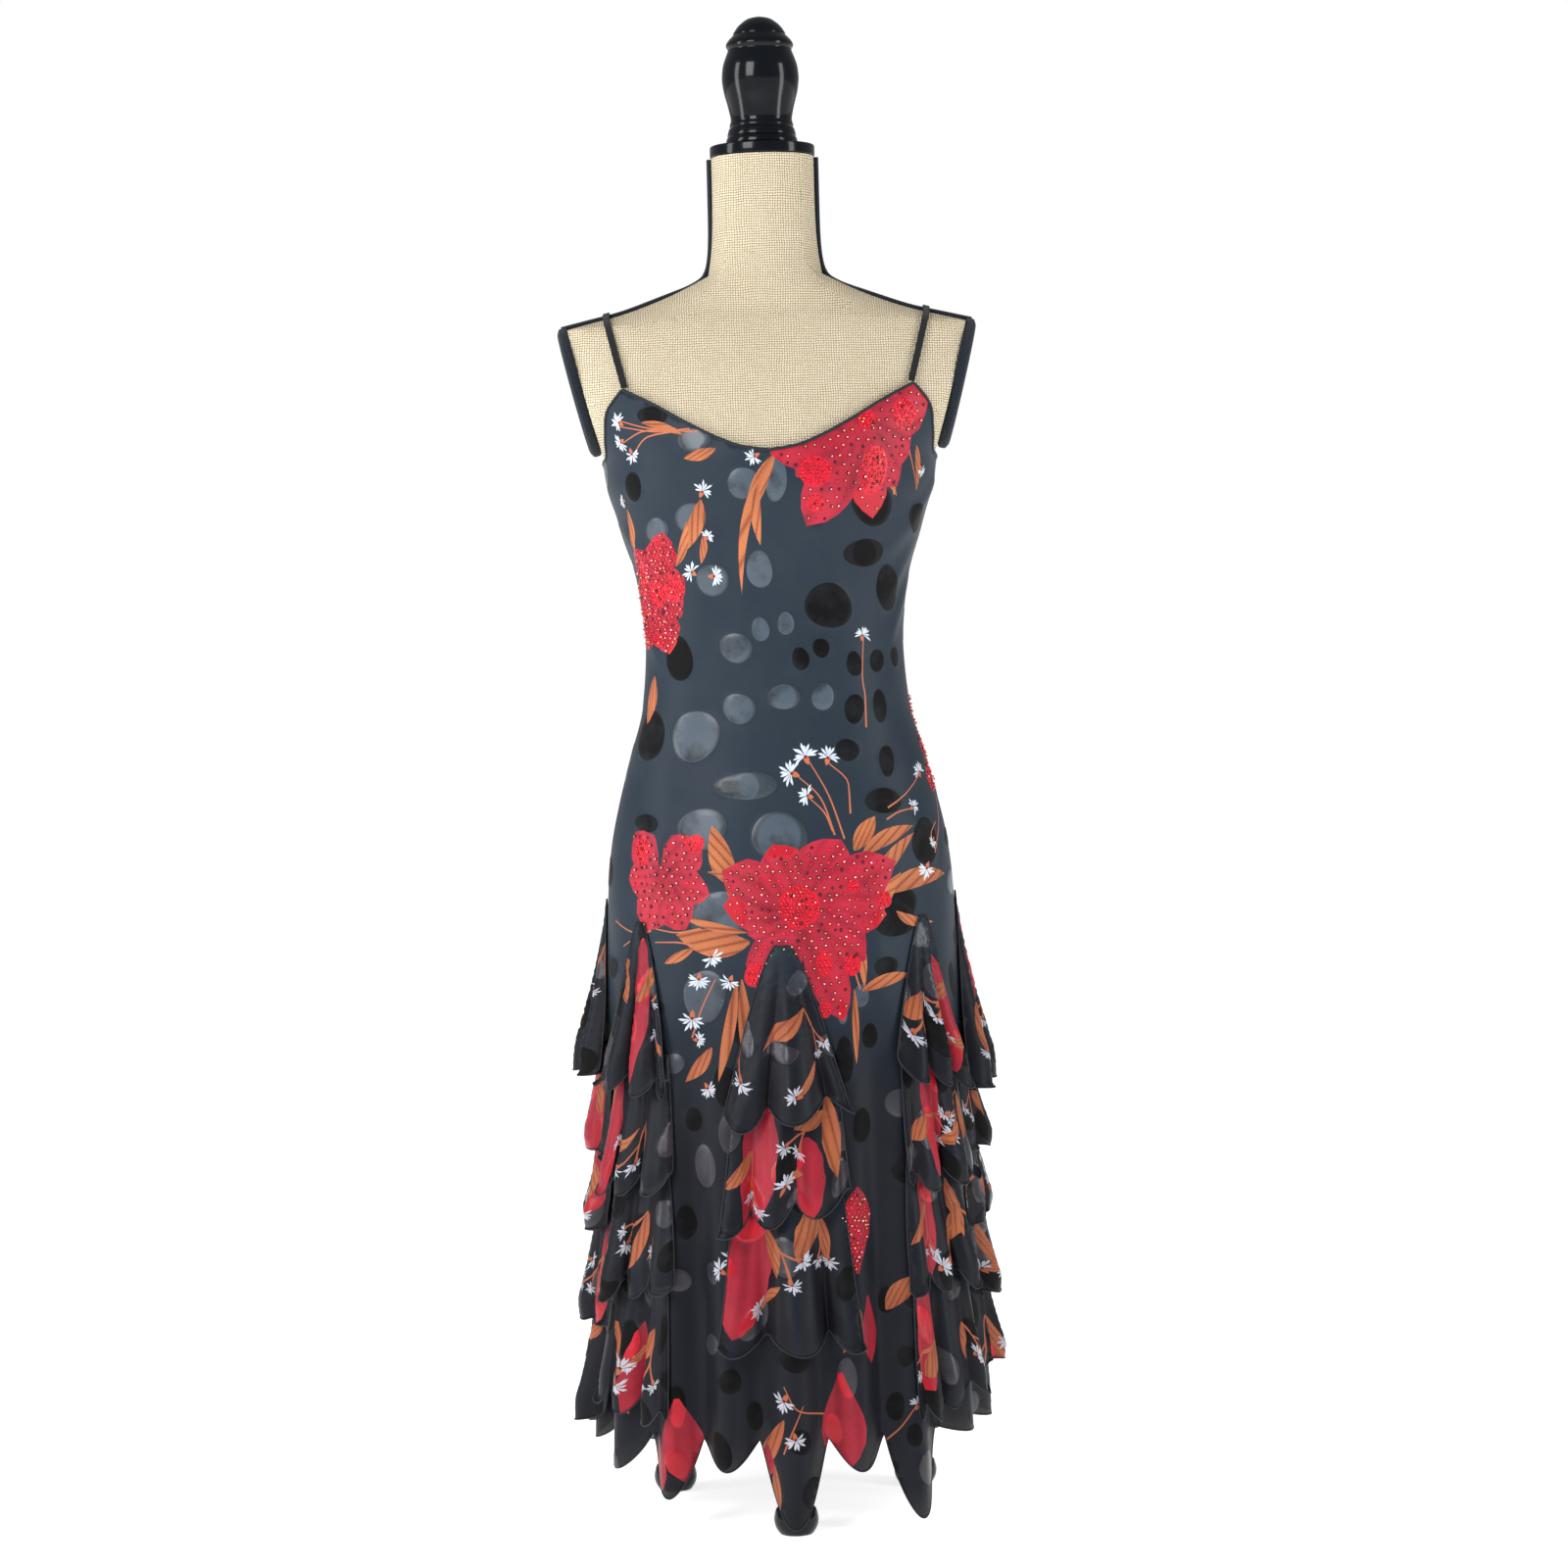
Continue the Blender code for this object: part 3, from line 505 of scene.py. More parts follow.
def print_cloth(outline, motifs, spacing):
    """Cuts the flat cloth into triangles along every printed line.

    Returns the flat points, the triangles, each triangle's motif, which triangles lie on a dot,
    and each point's pile.
    """
    rings = [motif.ring for motif in motifs]
    pile_rings = [
        motif.ring + (motif.ring.mean(0) - motif.ring) * (PILE_SLOPE / (motif.wide / 2))
        for motif in motifs if motif.kind in (SHEEN_LIT_DOT, VELVET)
    ]
    dense = [*rings, *pile_rings]
    grid = spaced_grid(outline, dense, spacing, spacing * KEEP_OFF_SHARE)
    points, edges = [outline], []
    count = 0
    for ring in (outline, *dense):
        if count:
            points.append(ring)
        steps = np.arange(len(ring))
        edges.extend(zip((count + steps).tolist(), (count + np.roll(steps, -1)).tolist()))
        count += len(ring)
    points.append(grid)
    flat = [Vector(spot) for spot in np.concatenate(points)]
    spots, _, faces, *_ = delaunay_2d_cdt(flat, edges, [], 0, 1e-7, False)
    spots = np.array([tuple(spot) for spot in spots])
    faces = np.array(faces)
    middle = spots[faces].mean(1)
    kept = inside(outline, middle)
    faces, middle = faces[kept], middle[kept]
    first, second, third = (spots[faces[:, corner]] for corner in range(3))
    edge_a, edge_b = second - first, third - first
    area = edge_a[:, 0] * edge_b[:, 1] - edge_a[:, 1] * edge_b[:, 0]
    faces[area < 0] = faces[area < 0][:, ::-1]
    whole = np.abs(area) > SLIVER_AREA
    faces, middle = faces[whole], middle[whole]
    owner = np.full(len(faces), -1)
    on_dot = np.zeros(len(faces), bool)
    for index, motif in enumerate(motifs):
        covered = inside(motif.ring, middle)
        owner[covered] = index
        if motif.kind in (SHEEN_LIT_DOT, VELVET):
            on_dot |= covered
    used = np.unique(faces)
    order = np.full(len(spots), -1)
    order[used] = np.arange(len(used))
    spots, faces = spots[used], order[faces]
    pile = np.zeros(len(spots))
    for ring in pile_rings:
        grown = ring + (ring - ring.mean(0)) * 1e-3
        pile[inside(grown, spots)] = 1.0
    return spots, faces, owner, on_dot, pile


def linked(name, data):
    """A new object of the scene that holds the data."""
    obj = bpy.data.objects.new(name, data)
    bpy.context.scene.collection.objects.link(obj)
    return obj


def stand_for(obj, node):
    """Puts a piece in a CAD node's place: hides the node and joins the piece to the root body."""
    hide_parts(node)
    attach(obj, "root")


def cloth_object(name, outline, motifs, spacing, place, thickness, sheer, depth):
    """A printed sheet of cloth as its own object, one material for each kind of motif; depth gives
    each point's painted shade.
    """
    spots, faces, owner, on_dot, pile = print_cloth(outline, motifs, spacing)
    kinds = np.array([motif.kind for motif in motifs] + [GROUND])[owner]
    kinds[(kinds == PETAL) & on_dot] = GLOW
    mesh = bpy.data.meshes.new(name)
    solid = place(spots, pile * PILE_HEIGHT)
    mesh.from_pydata(solid.tolist(), [], faces.tolist())
    mesh.polygons.foreach_set("material_index", kinds.astype(np.int32))
    corners = faces.ravel()
    cloth_map = mesh.uv_layers.new(name="cloth")
    cloth_map.data.foreach_set("uv", spots[corners].astype(np.float32).ravel())
    origins = np.array([motif.origin for motif in motifs] + [(0.0, 0.0)])[owner]
    alongs = np.array([motif.along for motif in motifs] + [(0.0, 1.0)])[owner]
    origins, alongs = (np.repeat(values, 3, axis=0) for values in (origins, alongs))
    away = spots[corners] - origins
    local = np.stack(
        ((away * alongs).sum(1), away[:, 0] * alongs[:, 1] - away[:, 1] * alongs[:, 0]), -1)
    motif_map = mesh.uv_layers.new(name="motif")
    motif_map.data.foreach_set("uv", local.astype(np.float32).ravel())
    thin = mesh.attributes.new("sheer", "FLOAT", "POINT")
    thin.data.foreach_set("value", sheer(solid).astype(np.float32))
    # Painted shade of each point, which the materials darken the colour by
    deep = mesh.attributes.new("fold_depth", "FLOAT", "POINT")
    deep.data.foreach_set("value", depth(spots).astype(np.float32))
    for kind in KINDS:
        mesh.materials.append(bpy.data.materials[kind])
    mesh.shade_smooth()
    obj = linked(name, mesh)
    shell = obj.modifiers.new("thickness", "SOLIDIFY")
    shell.thickness, shell.offset = thickness, -1.0
    apply_modifiers(obj)
    return obj


def only(obj):
    """Selects one object and nothing else."""
    for other in bpy.context.view_layer.objects:
        other.select_set(False)
    obj.select_set(True)
    bpy.context.view_layer.objects.active = obj


def apply_modifiers(obj):
    only(obj)
    for modifier in list(obj.modifiers):
        bpy.ops.object.modifier_apply(modifier=modifier.name)


# The flat cloth of a panel: across is the length round the body, up is the height
TURN_STEPS, ROW_STEPS = 721, 160
ROWS = np.linspace(0.0, 1.03, ROW_STEPS)


def row_of(z):
    """Where a height lies among the rows."""
    return np.clip((z - ROWS[0]) / (ROWS[1] - ROWS[0]), 0, ROW_STEPS - 1.001)


def arc_table(middle):
    """The turns of a half of the dress and, for each row, the cloth's length to each turn."""
    turns = np.linspace(-90 + SIDE_SEAM_TURN, 90 - SIDE_SEAM_TURN, TURN_STEPS)
    spots = dress_points(middle + turns[None, :], ROWS[:, None])
    steps = np.linalg.norm(np.diff(spots[..., :2], axis=1), axis=2)
    lengths = np.concatenate((np.zeros((ROW_STEPS, 1)), np.cumsum(steps, axis=1)), axis=1)
    return turns, lengths - lengths[:, TURN_STEPS // 2][:, None]


def flat_across(table, turn, z):
    turns, lengths = table
    turn, z = np.broadcast_arrays(np.asarray(turn, float), np.asarray(z, float))
    column = np.clip((turn - turns[0]) / (turns[1] - turns[0]), 0, TURN_STEPS - 1.001)
    row = row_of(z)
    left, low = column.astype(int), row.astype(int)
    across, up = column - left, row - low
    bottom = lengths[low, left] * (1 - across) + lengths[low, left + 1] * across
    top = lengths[low + 1, left] * (1 - across) + lengths[low + 1, left + 1] * across
    return bottom * (1 - up) + top * up


def turn_at(table, across, z):
    """The turn of each flat place."""
    turns, lengths = table
    row = row_of(z)
    low = row.astype(int)
    found = np.empty(len(z))
    for index in np.unique(low):
        chosen = low == index
        share = row[chosen] - index
        bottom = np.interp(across[chosen], lengths[index], turns)
        top = np.interp(across[chosen], lengths[index + 1], turns)
        found[chosen] = bottom * (1 - share) + top * share
    return found


def smooth_edge(table, turn):
    """The upper edge, curved between its peak and its ends."""
    turns, heights = zip(*table)
    peak = int(np.argmax(heights))
    turn = np.asarray(turn, float)
    low = smooth(turns[:peak + 1], heights[:peak + 1], turn)
    high = smooth(turns[peak:], heights[peak:], turn)
    return np.where(turn <= turns[peak], low, high)


def top_edge_z(middle, turns):
    """The upper edge of the front or back panel, by turns from its own middle."""
    folded = np.abs(turns) if middle == 0 else 180 - np.abs(turns)
    return smooth_edge(FRONT_EDGE if middle == 0 else BACK_EDGE, folded)


SIDE_STEP, SIDE_END = 0.008, 0.006


def panel_outline(table, middle):
    """The cut edge of the front or back panel on its flat cloth."""
    limit = 90 - SIDE_SEAM_TURN
    top = np.linspace(-limit, limit, 145)
    top_z = top_edge_z(middle, top)
    hem = np.linspace(limit, -limit, 361)
    hem_height = hem_z(middle + hem)
    right_z = np.arange(top_z[-1] - SIDE_STEP, hem_height[0] + SIDE_END, -SIDE_STEP)
    left_z = np.arange(hem_height[-1] + SIDE_STEP, top_z[0] - SIDE_END, SIDE_STEP)
    turn = np.concatenate((top, np.full(len(right_z), limit), hem, np.full(len(left_z), -limit)))
    z = np.concatenate((top_z, right_z, hem_height, left_z))
    return np.stack((flat_across(table, turn, z), z), -1)


# How the photograph sees the dress: camera distance and height, metres a pixel at the pole,
# the row of the horizon, the pole's column there and how far the picture leans
CAMERA_DISTANCE = 3.6
CAMERA_HEIGHT = 0.80
PIXEL = 0.00089
HORIZON_ROW = 639.0
POLE_COLUMN = 789.8
LEAN = math.atan(0.0252)
# The dress's front as the camera sees it, row by row
SEEN_TURNS = np.linspace(-89, 89, 357)
SEEN_SPOTS = dress_points(SEEN_TURNS[None, :], ROWS[:, None])


def photo_place(column, row):
    """The turn and height of the dress's front where the photograph shows it."""
    x, y = column - POLE_COLUMN, row - HORIZON_ROW
    across = (x * math.cos(LEAN) - y * math.sin(LEAN)) * PIXEL
    down = (x * math.sin(LEAN) + y * math.cos(LEAN)) * PIXEL
    depth, turn, z = 0.1, 0.0, 0.0
    for _ in range(6):
        nearer = 1 - depth / CAMERA_DISTANCE
        z = CAMERA_HEIGHT - down * nearer
        level = row_of(z)
        low = int(level)
        spots = SEEN_SPOTS[low] * (1 - level + low) + SEEN_SPOTS[low + 1] * (level - low)
        turn = float(np.interp(across * nearer, np.maximum.accumulate(spots[:, 0]), SEEN_TURNS))
        depth = -float(np.interp(turn, SEEN_TURNS, spots[:, 1]))
    return turn, z


def flat_place(table, column, row):
    turn, z = photo_place(column, row)
    return np.array((float(flat_across(table, turn, z)), z))


# Dots of the front, by the photograph's column and row and their size in pixels; sheen-lit ones are
# the pile dots painted as catching the light
Dot = namedtuple("Dot", "column row wide tall")
SHEEN_LIT_DOTS = named_rows(Dot, (
    (708, 449, 35, 22), (759, 493, 32, 32), (705, 529, 33, 29), (670, 541, 22, 24),
    (775, 581, 27, 36), (727, 592, 34, 30), (776, 642, 18, 24), (802, 636, 16, 24),
    (751, 661, 33, 30), (800, 711, 32, 26), (840, 711, 22, 27), (754, 723, 33, 31),
    (709, 751, 48, 51), (761, 802, 63, 28), (716, 846, 51, 40), (795, 853, 60, 45),
    (733, 936, 60, 48), (719, 1017, 44, 50), (860, 1034, 10, 24), (879, 1017, 15, 24),
    (792, 489, 22, 44), (744, 1158, 22, 40), (720, 1192, 20, 44), (1000, 1262, 14, 40),
))
VELVET_DOTS = named_rows(Dot, (
    (666, 425, 30, 20), (646, 497, 17, 28), (891, 515, 42, 40), (882, 564, 40, 28),
    (907, 600, 20, 45), (846, 618, 47, 46), (838, 661, 17, 20), (817, 672, 18, 23),
    (872, 677, 16, 25), (895, 674, 15, 22), (913, 670, 8, 20), (693, 672, 27, 45),
    (872, 723, 20, 30), (898, 720, 14, 33), (663, 750, 24, 48), (865, 765, 25, 22),
    (905, 776, 16, 30), (902, 817, 36, 26), (659, 840, 24, 18), (946, 858, 25, 45),
    (922, 922, 30, 28), (914, 939, 40, 35), (905, 987, 25, 20), (888, 1058, 15, 26),
    (862, 1083, 20, 45), (740, 1110, 24, 42), (800, 1300, 26, 30), (812, 1392, 30, 28),
    (818, 1478, 22, 26), (668, 1330, 30, 52), (640, 1420, 22, 30), (690, 1440, 20, 40),
    (745, 1415, 22, 26), (905, 1330, 18, 26), (925, 1388, 16, 22), (940, 1330, 18, 20),
    (915, 1440, 20, 28), (935, 1470, 16, 24), (640, 1255, 16, 30), (905, 1505, 20, 22),
    (832, 1530, 24, 34), (700, 1250, 22, 34), (770, 1450, 18, 28), (880, 1150, 18, 34),
))

# Flowers of the front: their heart's column, row and size, the spacing of its beads, and each
# petal's way, length and width, ways counted clockwise from straight up
Flower = namedtuple("Flower", "column row heart spacing petals")
FLOWERS = named_rows(Flower, (
    (880, 437, 0.0, 0.0088, (
        (28, 0.062, 0.050), (66, 0.070, 0.052), (112, 0.058, 0.046), (142, 0.064, 0.040),
        (171, 0.080, 0.038), (-150, 0.100, 0.044), (-126, 0.074, 0.044), (-106, 0.086, 0.046),
        (-62, 0.070, 0.054))),
    (671, 606, 0.022, 0.0042, (
        (12, 0.056, 0.036), (68, 0.036, 0.036), (122, 0.036, 0.034), (163, 0.056, 0.034),
        (-150, 0.058, 0.036), (-100, 0.050, 0.040), (-45, 0.052, 0.036))),
    (944, 757, 0.024, 0.0042, (
        (-14, 0.052, 0.032), (38, 0.052, 0.036), (95, 0.048, 0.036), (150, 0.050, 0.034),
        (-168, 0.046, 0.030), (-95, 0.024, 0.026))),
    (673, 896, 0.0, 0.0080, (
        (-38, 0.050, 0.034), (48, 0.052, 0.038), (106, 0.050, 0.030), (150, 0.052, 0.036),
        (-162, 0.050, 0.036), (-95, 0.038, 0.034))),
    (816, 926, 0.038, 0.0076, (
        (32, 0.070, 0.050), (66, 0.098, 0.044), (95, 0.080, 0.042), (128, 0.076, 0.044),
        (158, 0.108, 0.036), (-154, 0.084, 0.046), (-118, 0.052, 0.040), (-90, 0.068, 0.040),
        (-66, 0.076, 0.044), (-24, 0.060, 0.044))),
    (876, 1303, 0.0, 0.0044, ((-2, 0.076, 0.030),)),
))

# Velvet discs on the front's flowers: column and row, width, height and way
Disc = namedtuple("Disc", "column row wide tall way")
DISCS = named_rows(Disc, (
    (871, 904, 0.011, 0.012, 0), (902, 918, 0.015, 0.015, 0),
    (770, 995, 0.018, 0.022, 15), (841, 984, 0.013, 0.024, -5),
    (870, 985, 0.016, 0.019, 10), (842, 1031, 0.012, 0.015, 0),
    (832, 481, 0.028, 0.029, 0), (891, 480, 0.027, 0.046, 12),
    (923, 422, 0.022, 0.029, -10), (884, 428, 0.016, 0.018, 0),
    (832, 513, 0.018, 0.016, 0), (688, 600, 0.023, 0.025, 0),
    (672, 652, 0.015, 0.015, 0), (657, 592, 0.012, 0.034, 0),
    (655, 868, 0.018, 0.026, 0), (709, 861, 0.019, 0.016, 0),
))

# Leaves: root column and row, way, length, width and bend
Leaf = namedtuple("Leaf", "column row way length width bend")
LEAVES = named_rows(Leaf, (
    (791, 463, -147, 0.062, 0.013, -0.15), (789, 465, -144, 0.116, 0.009, -0.40),
    (774, 494, -166, 0.052, 0.009, -0.26), (715, 510, -172, 0.046, 0.015, 0.22),
    (690, 578, 36, 0.040, 0.009, -0.30), (718, 545, 176, 0.026, 0.007, 0.2),
    (655, 432, 96, 0.040, 0.007, 0.2), (730, 458, -116, 0.030, 0.010, 0.2),
    (935, 455, 150, 0.036, 0.009, 0.4), (905, 470, 176, 0.032, 0.008, -0.3),
    (668, 690, -172, 0.044, 0.016, 0.1), (640, 520, 165, 0.040, 0.009, 0.1),
    (872, 868, 32, 0.036, 0.016, 0.05), (880, 872, 52, 0.056, 0.014, 0.25),
    (895, 905, 22, 0.058, 0.014, 0.35), (905, 912, 58, 0.072, 0.018, 0.40),
    (868, 940, 68, 0.062, 0.017, -0.30), (915, 930, 132, 0.040, 0.010, -0.5),
    (880, 1012, 62, 0.050, 0.011, 0.25), (876, 950, 172, 0.050, 0.008, 0.05),
    (752, 905, -38, 0.056, 0.022, 0.30), (722, 890, 96, 0.040, 0.006, 0.3),
    (765, 962, -98, 0.066, 0.024, 0.25), (762, 952, -82, 0.060, 0.007, 0.1),
    (757, 1000, 178, 0.100, 0.012, -0.04), (752, 1002, -171, 0.090, 0.010, 0.06),
    (872, 1010, 178, 0.066, 0.006, 0.02), (708, 968, -120, 0.034, 0.008, 0.1),
    (726, 1070, -150, 0.040, 0.012, 0.2), (840, 1120, 170, 0.052, 0.015, -0.15),
    (822, 1268, 20, 0.046, 0.024, 0.20), (800, 1455, -150, 0.060, 0.016, 0.1),
    (790, 1500, 170, 0.050, 0.010, 0.1), (672, 1435, 10, 0.060, 0.012, 0.1),
    (905, 1340, 30, 0.040, 0.018, 0.2), (878, 1340, -170, 0.040, 0.014, 0.2),
))

# Stems by their spots, and daisies by column, row, way and size
STEMS = (
    ((632, 430), (665, 438), (712, 441)), ((632, 436), (672, 441), (704, 438)),
    ((637, 452), (660, 440), (690, 438)), ((648, 462), (662, 446), (692, 440)),
    ((881, 650), (880, 690), (883, 712), (884, 742)), ((903, 450), (908, 475), (912, 505)),
    ((890, 445), (900, 470), (920, 440)), ((935, 500), (930, 470), (925, 445)),
    ((812, 790), (838, 815), (852, 852)), ((824, 774), (846, 812), (862, 856)),
    ((843, 776), (866, 800), (868, 830)), ((826, 814), (842, 830), (850, 848)),
    ((938, 790), (922, 812), (906, 824)), ((932, 824), (918, 828), (905, 836)),
    ((955, 810), (958, 840), (954, 870)), ((955, 838), (950, 850), (951, 862)),
    ((628, 940), (648, 952), (664, 948)), ((636, 966), (650, 956), (664, 950)),
    ((668, 948), (690, 952), (715, 948)), ((668, 962), (690, 962), (712, 966)),
    ((730, 1000), (716, 1030), (706, 1060)), ((870, 950), (872, 985), (878, 1010)),
    ((800, 1420), (815, 1445), (845, 1448)), ((610, 1385), (618, 1405), (630, 1418)),
    ((936, 1440), (920, 1462), (902, 1478)), ((820, 1440), (812, 1460), (800, 1490)),
)
Head = namedtuple("Head", "column row way size")
DAISIES = named_rows(Head, (
    (632, 432, -60, 0.010), (634, 452, -120, 0.010), (645, 464, 170, 0.011),
    (717, 502, 30, 0.011), (722, 548, 40, 0.008), (706, 584, -60, 0.011),
    (729, 588, 90, 0.011), (770, 466, -120, 0.010), (880, 648, 10, 0.010),
    (822, 772, -20, 0.014), (845, 773, 15, 0.013), (808, 789, -70, 0.014),
    (824, 812, -75, 0.011), (938, 787, -20, 0.011), (932, 823, 60, 0.009),
    (952, 858, -150, 0.008), (946, 886, -160, 0.012), (726, 977, 150, 0.012),
    (745, 1002, -160, 0.011), (713, 1000, -170, 0.012), (706, 1040, -170, 0.014),
    (712, 1062, 90, 0.009), (722, 1112, 150, 0.011), (610, 1425, -160, 0.014),
    (636, 1440, -30, 0.014), (800, 1435, -150, 0.014), (938, 1438, 20, 0.010),
    (748, 1290, 20, 0.013), (735, 1300, -60, 0.012), (940, 480, 160, 0.008),
    (636, 512, -100, 0.008), (640, 690, -160, 0.008), (812, 1475, 170, 0.012),
))
# Red places near the hem: column, row, way, length and width
RED_PLACES = (
    (690, 1432, 178, 0.075, 0.044), (672, 1470, 176, 0.050, 0.026), (858, 1405, 176, 0.088, 0.042),
    (912, 1545, 178, 0.030, 0.020), (784, 1480, -168, 0.030, 0.020), (886, 1325, 174, 0.060, 0.020),
    (708, 1480, 176, 0.040, 0.020),
)


def photo_dots(table, dots, kind):
    made = []
    for dot in dots:
        center = flat_place(table, dot.column, dot.row)
        left = flat_place(table, dot.column - dot.wide / 2, dot.row)
        right = flat_place(table, dot.column + dot.wide / 2, dot.row)
        wide = min(right[0] - left[0], dot.wide * PIXEL * 2.4)
        made.append(oval(kind, center, wide, dot.tall * PIXEL, 0.0, 28))
    return made


# Sizes of the dots that fill the cloth, from the least to the most, and how many are painted
# sheen-lit
DOT_WIDE, DOT_TALL, SHEEN_LIT_SHARE = (0.014, 0.038), (0.016, 0.036), 0.45
TRIES_PER_DOT = 40


def free_dots(draw, outline, taken, count, low_z, high_z, gap=0.008):
    """Dots of mixed sizes where the cloth is still empty."""
    made = []
    low, high = outline.min(0), outline.max(0)
    places = np.array([
        (draw.uniform(low[0], high[0]), draw.uniform(low_z, high_z))
        for _ in range(count * TRIES_PER_DOT)
    ])
    for place in places[inside(outline, places)]:
        wide, tall = draw.uniform(*DOT_WIDE), draw.uniform(*DOT_TALL)
        reach = max(wide, tall) / 2
        if all(np.hypot(*(place - spot)) > other + reach + gap for spot, other in taken):
            kind = SHEEN_LIT_DOT if draw.random() < SHEEN_LIT_SHARE else VELVET
            made.append(oval(kind, place, wide, tall, draw.uniform(-25, 25), 26))
            taken.append((place, reach))
        if len(made) == count:
            break
    return made


def front_discs(table):
    return [
        oval(GLOW, flat_place(table, disc.column, disc.row), disc.wide, disc.tall, disc.way)
        for disc in DISCS]


def front_print(table, outline):
    draw = random.Random(11)
    made = photo_dots(table, SHEEN_LIT_DOTS, SHEEN_LIT_DOT) + photo_dots(table, VELVET_DOTS, VELVET)
    taken = [(dot.ring.mean(0), np.ptp(dot.ring, axis=0).max() / 2) for dot in made]
    for bloom in FLOWERS:
        taken.append((flat_place(table, bloom.column, bloom.row), 0.055))
    made += free_dots(draw, outline, taken, 60, 0.03, 0.52)
    made += free_dots(draw, outline, taken, 14, 0.52, 0.95, 0.014)
    for root in LEAVES:
        made.append(leaf(flat_place(table, root.column, root.row), *root[2:]))
    for stem in STEMS:
        made.append(line(STEM, [flat_place(table, *spot) for spot in stem], 0.0013))
    for column, row, degrees, length, width in RED_PLACES:
        made.append(blade(PETAL, flat_place(table, column, row), degrees, length, width, 0.6))
    for bloom in FLOWERS:
        made += flower(flat_place(table, bloom.column, bloom.row), bloom.petals, bloom.heart)
    made += front_discs(table)
    for head in DAISIES:
        made += daisy(flat_place(table, head.column, head.row), head.way, head.size, draw)
    return made


# Flowers of the back: across and up on the flat cloth, heart, bead spacing and petals
BACK_FLOWERS = named_rows(Flower, (
    (0.050, 0.640, 0.036, 0.0080, (
        (10, 0.070, 0.046), (58, 0.080, 0.044), (104, 0.074, 0.044), (150, 0.086, 0.042),
        (-160, 0.072, 0.046), (-112, 0.080, 0.042), (-55, 0.068, 0.046))),
    (-0.105, 0.850, 0.0, 0.0084, (
        (-20, 0.052, 0.040), (40, 0.056, 0.040), (100, 0.050, 0.036), (160, 0.058, 0.036),
        (-140, 0.054, 0.038), (-80, 0.046, 0.038))),
    (0.120, 0.420, 0.024, 0.0080, (
        (0, 0.050, 0.036), (70, 0.048, 0.036), (140, 0.054, 0.034), (-150, 0.050, 0.036),
        (-75, 0.048, 0.036))),
))


def back_print(outline):
    draw = random.Random(23)
    taken = [(np.array((bloom.column, bloom.row)), 0.060) for bloom in BACK_FLOWERS]
    made = free_dots(draw, outline, taken, 90, 0.03, 0.60)
    made += free_dots(draw, outline, taken, 46, 0.60, 0.94, 0.012)
    for bloom in BACK_FLOWERS:
        root = np.array((bloom.column, bloom.row))
        for side in (-1, 1):
            for number in range(3):
                degrees = side * (38 + 44 * number) + draw.uniform(-12, 12)
                reach = draw.uniform(0.075, 0.115)
                made.append(leaf(root, degrees, reach, draw.uniform(0.012, 0.020), 0.25 * side))
        made += spray(root + way(20) * 0.05, draw.uniform(-10, 50), 0.09, draw, 4)
        made += spray(root - way(10) * 0.05, draw.uniform(150, 210), 0.08, draw, 3)
    for across, up, degrees in ((-0.08, 0.93, 140), (0.09, 0.90, -170), (-0.12, 0.62, 20),
                                (-0.02, 0.40, 190), (0.14, 0.22, 170), (-0.16, 0.24, 175)):
        made += spray((across, up), degrees, 0.075, draw, 3)
    for bloom in BACK_FLOWERS:
        made += flower(np.array((bloom.column, bloom.row)), bloom.petals, bloom.heart)
    return made


# Where the cloth is sheer and how much: the back below its lining, and the front's hem
LINED_Z, SHEER_Z, BACK_SHEER = 0.165, 0.085, 0.62
EDGE_SHEER, FRONT_SHEER = 0.035, 0.30
# Painted shade of the lower skirt: how dark, the height it starts at and how far down it grows
SKIRT_SHADE, SKIRT_SHADE_Z, SKIRT_SHADE_REACH = 0.88, 0.56, 0.22
DRESS_THICK = 0.0007


def panel_sheer(spots):
    above = spots[:, 2] - hem_z(turn_of(spots))
    edge = FRONT_SHEER * np.clip(1 - above / EDGE_SHEER, 0, 1)
    share = np.clip((LINED_Z - spots[:, 2]) / (LINED_Z - SHEER_Z), 0, 1)
    return np.where(spots[:, 1] < 0, edge, BACK_SHEER * eased(share))


def panel_place(table, middle):
    def place(flat, lift):
        return dress_points(middle + turn_at(table, flat[:, 0], flat[:, 1]), flat[:, 1], lift)
    return place


def dress_panel(name, middle, spacing):
    table = arc_table(middle)
    outline = panel_outline(table, middle)
    motifs = front_print(table, outline) if middle == 0 else back_print(outline)
    place = panel_place(table, middle)

    # Painted shade, darker down the skirt
    def depth(flat):
        skirt = np.clip((SKIRT_SHADE_Z - flat[:, 1]) / SKIRT_SHADE_REACH, 0, 1)
        return SKIRT_SHADE * eased(skirt)

    return cloth_object(name, outline, motifs, spacing, place, DRESS_THICK, panel_sheer, depth)
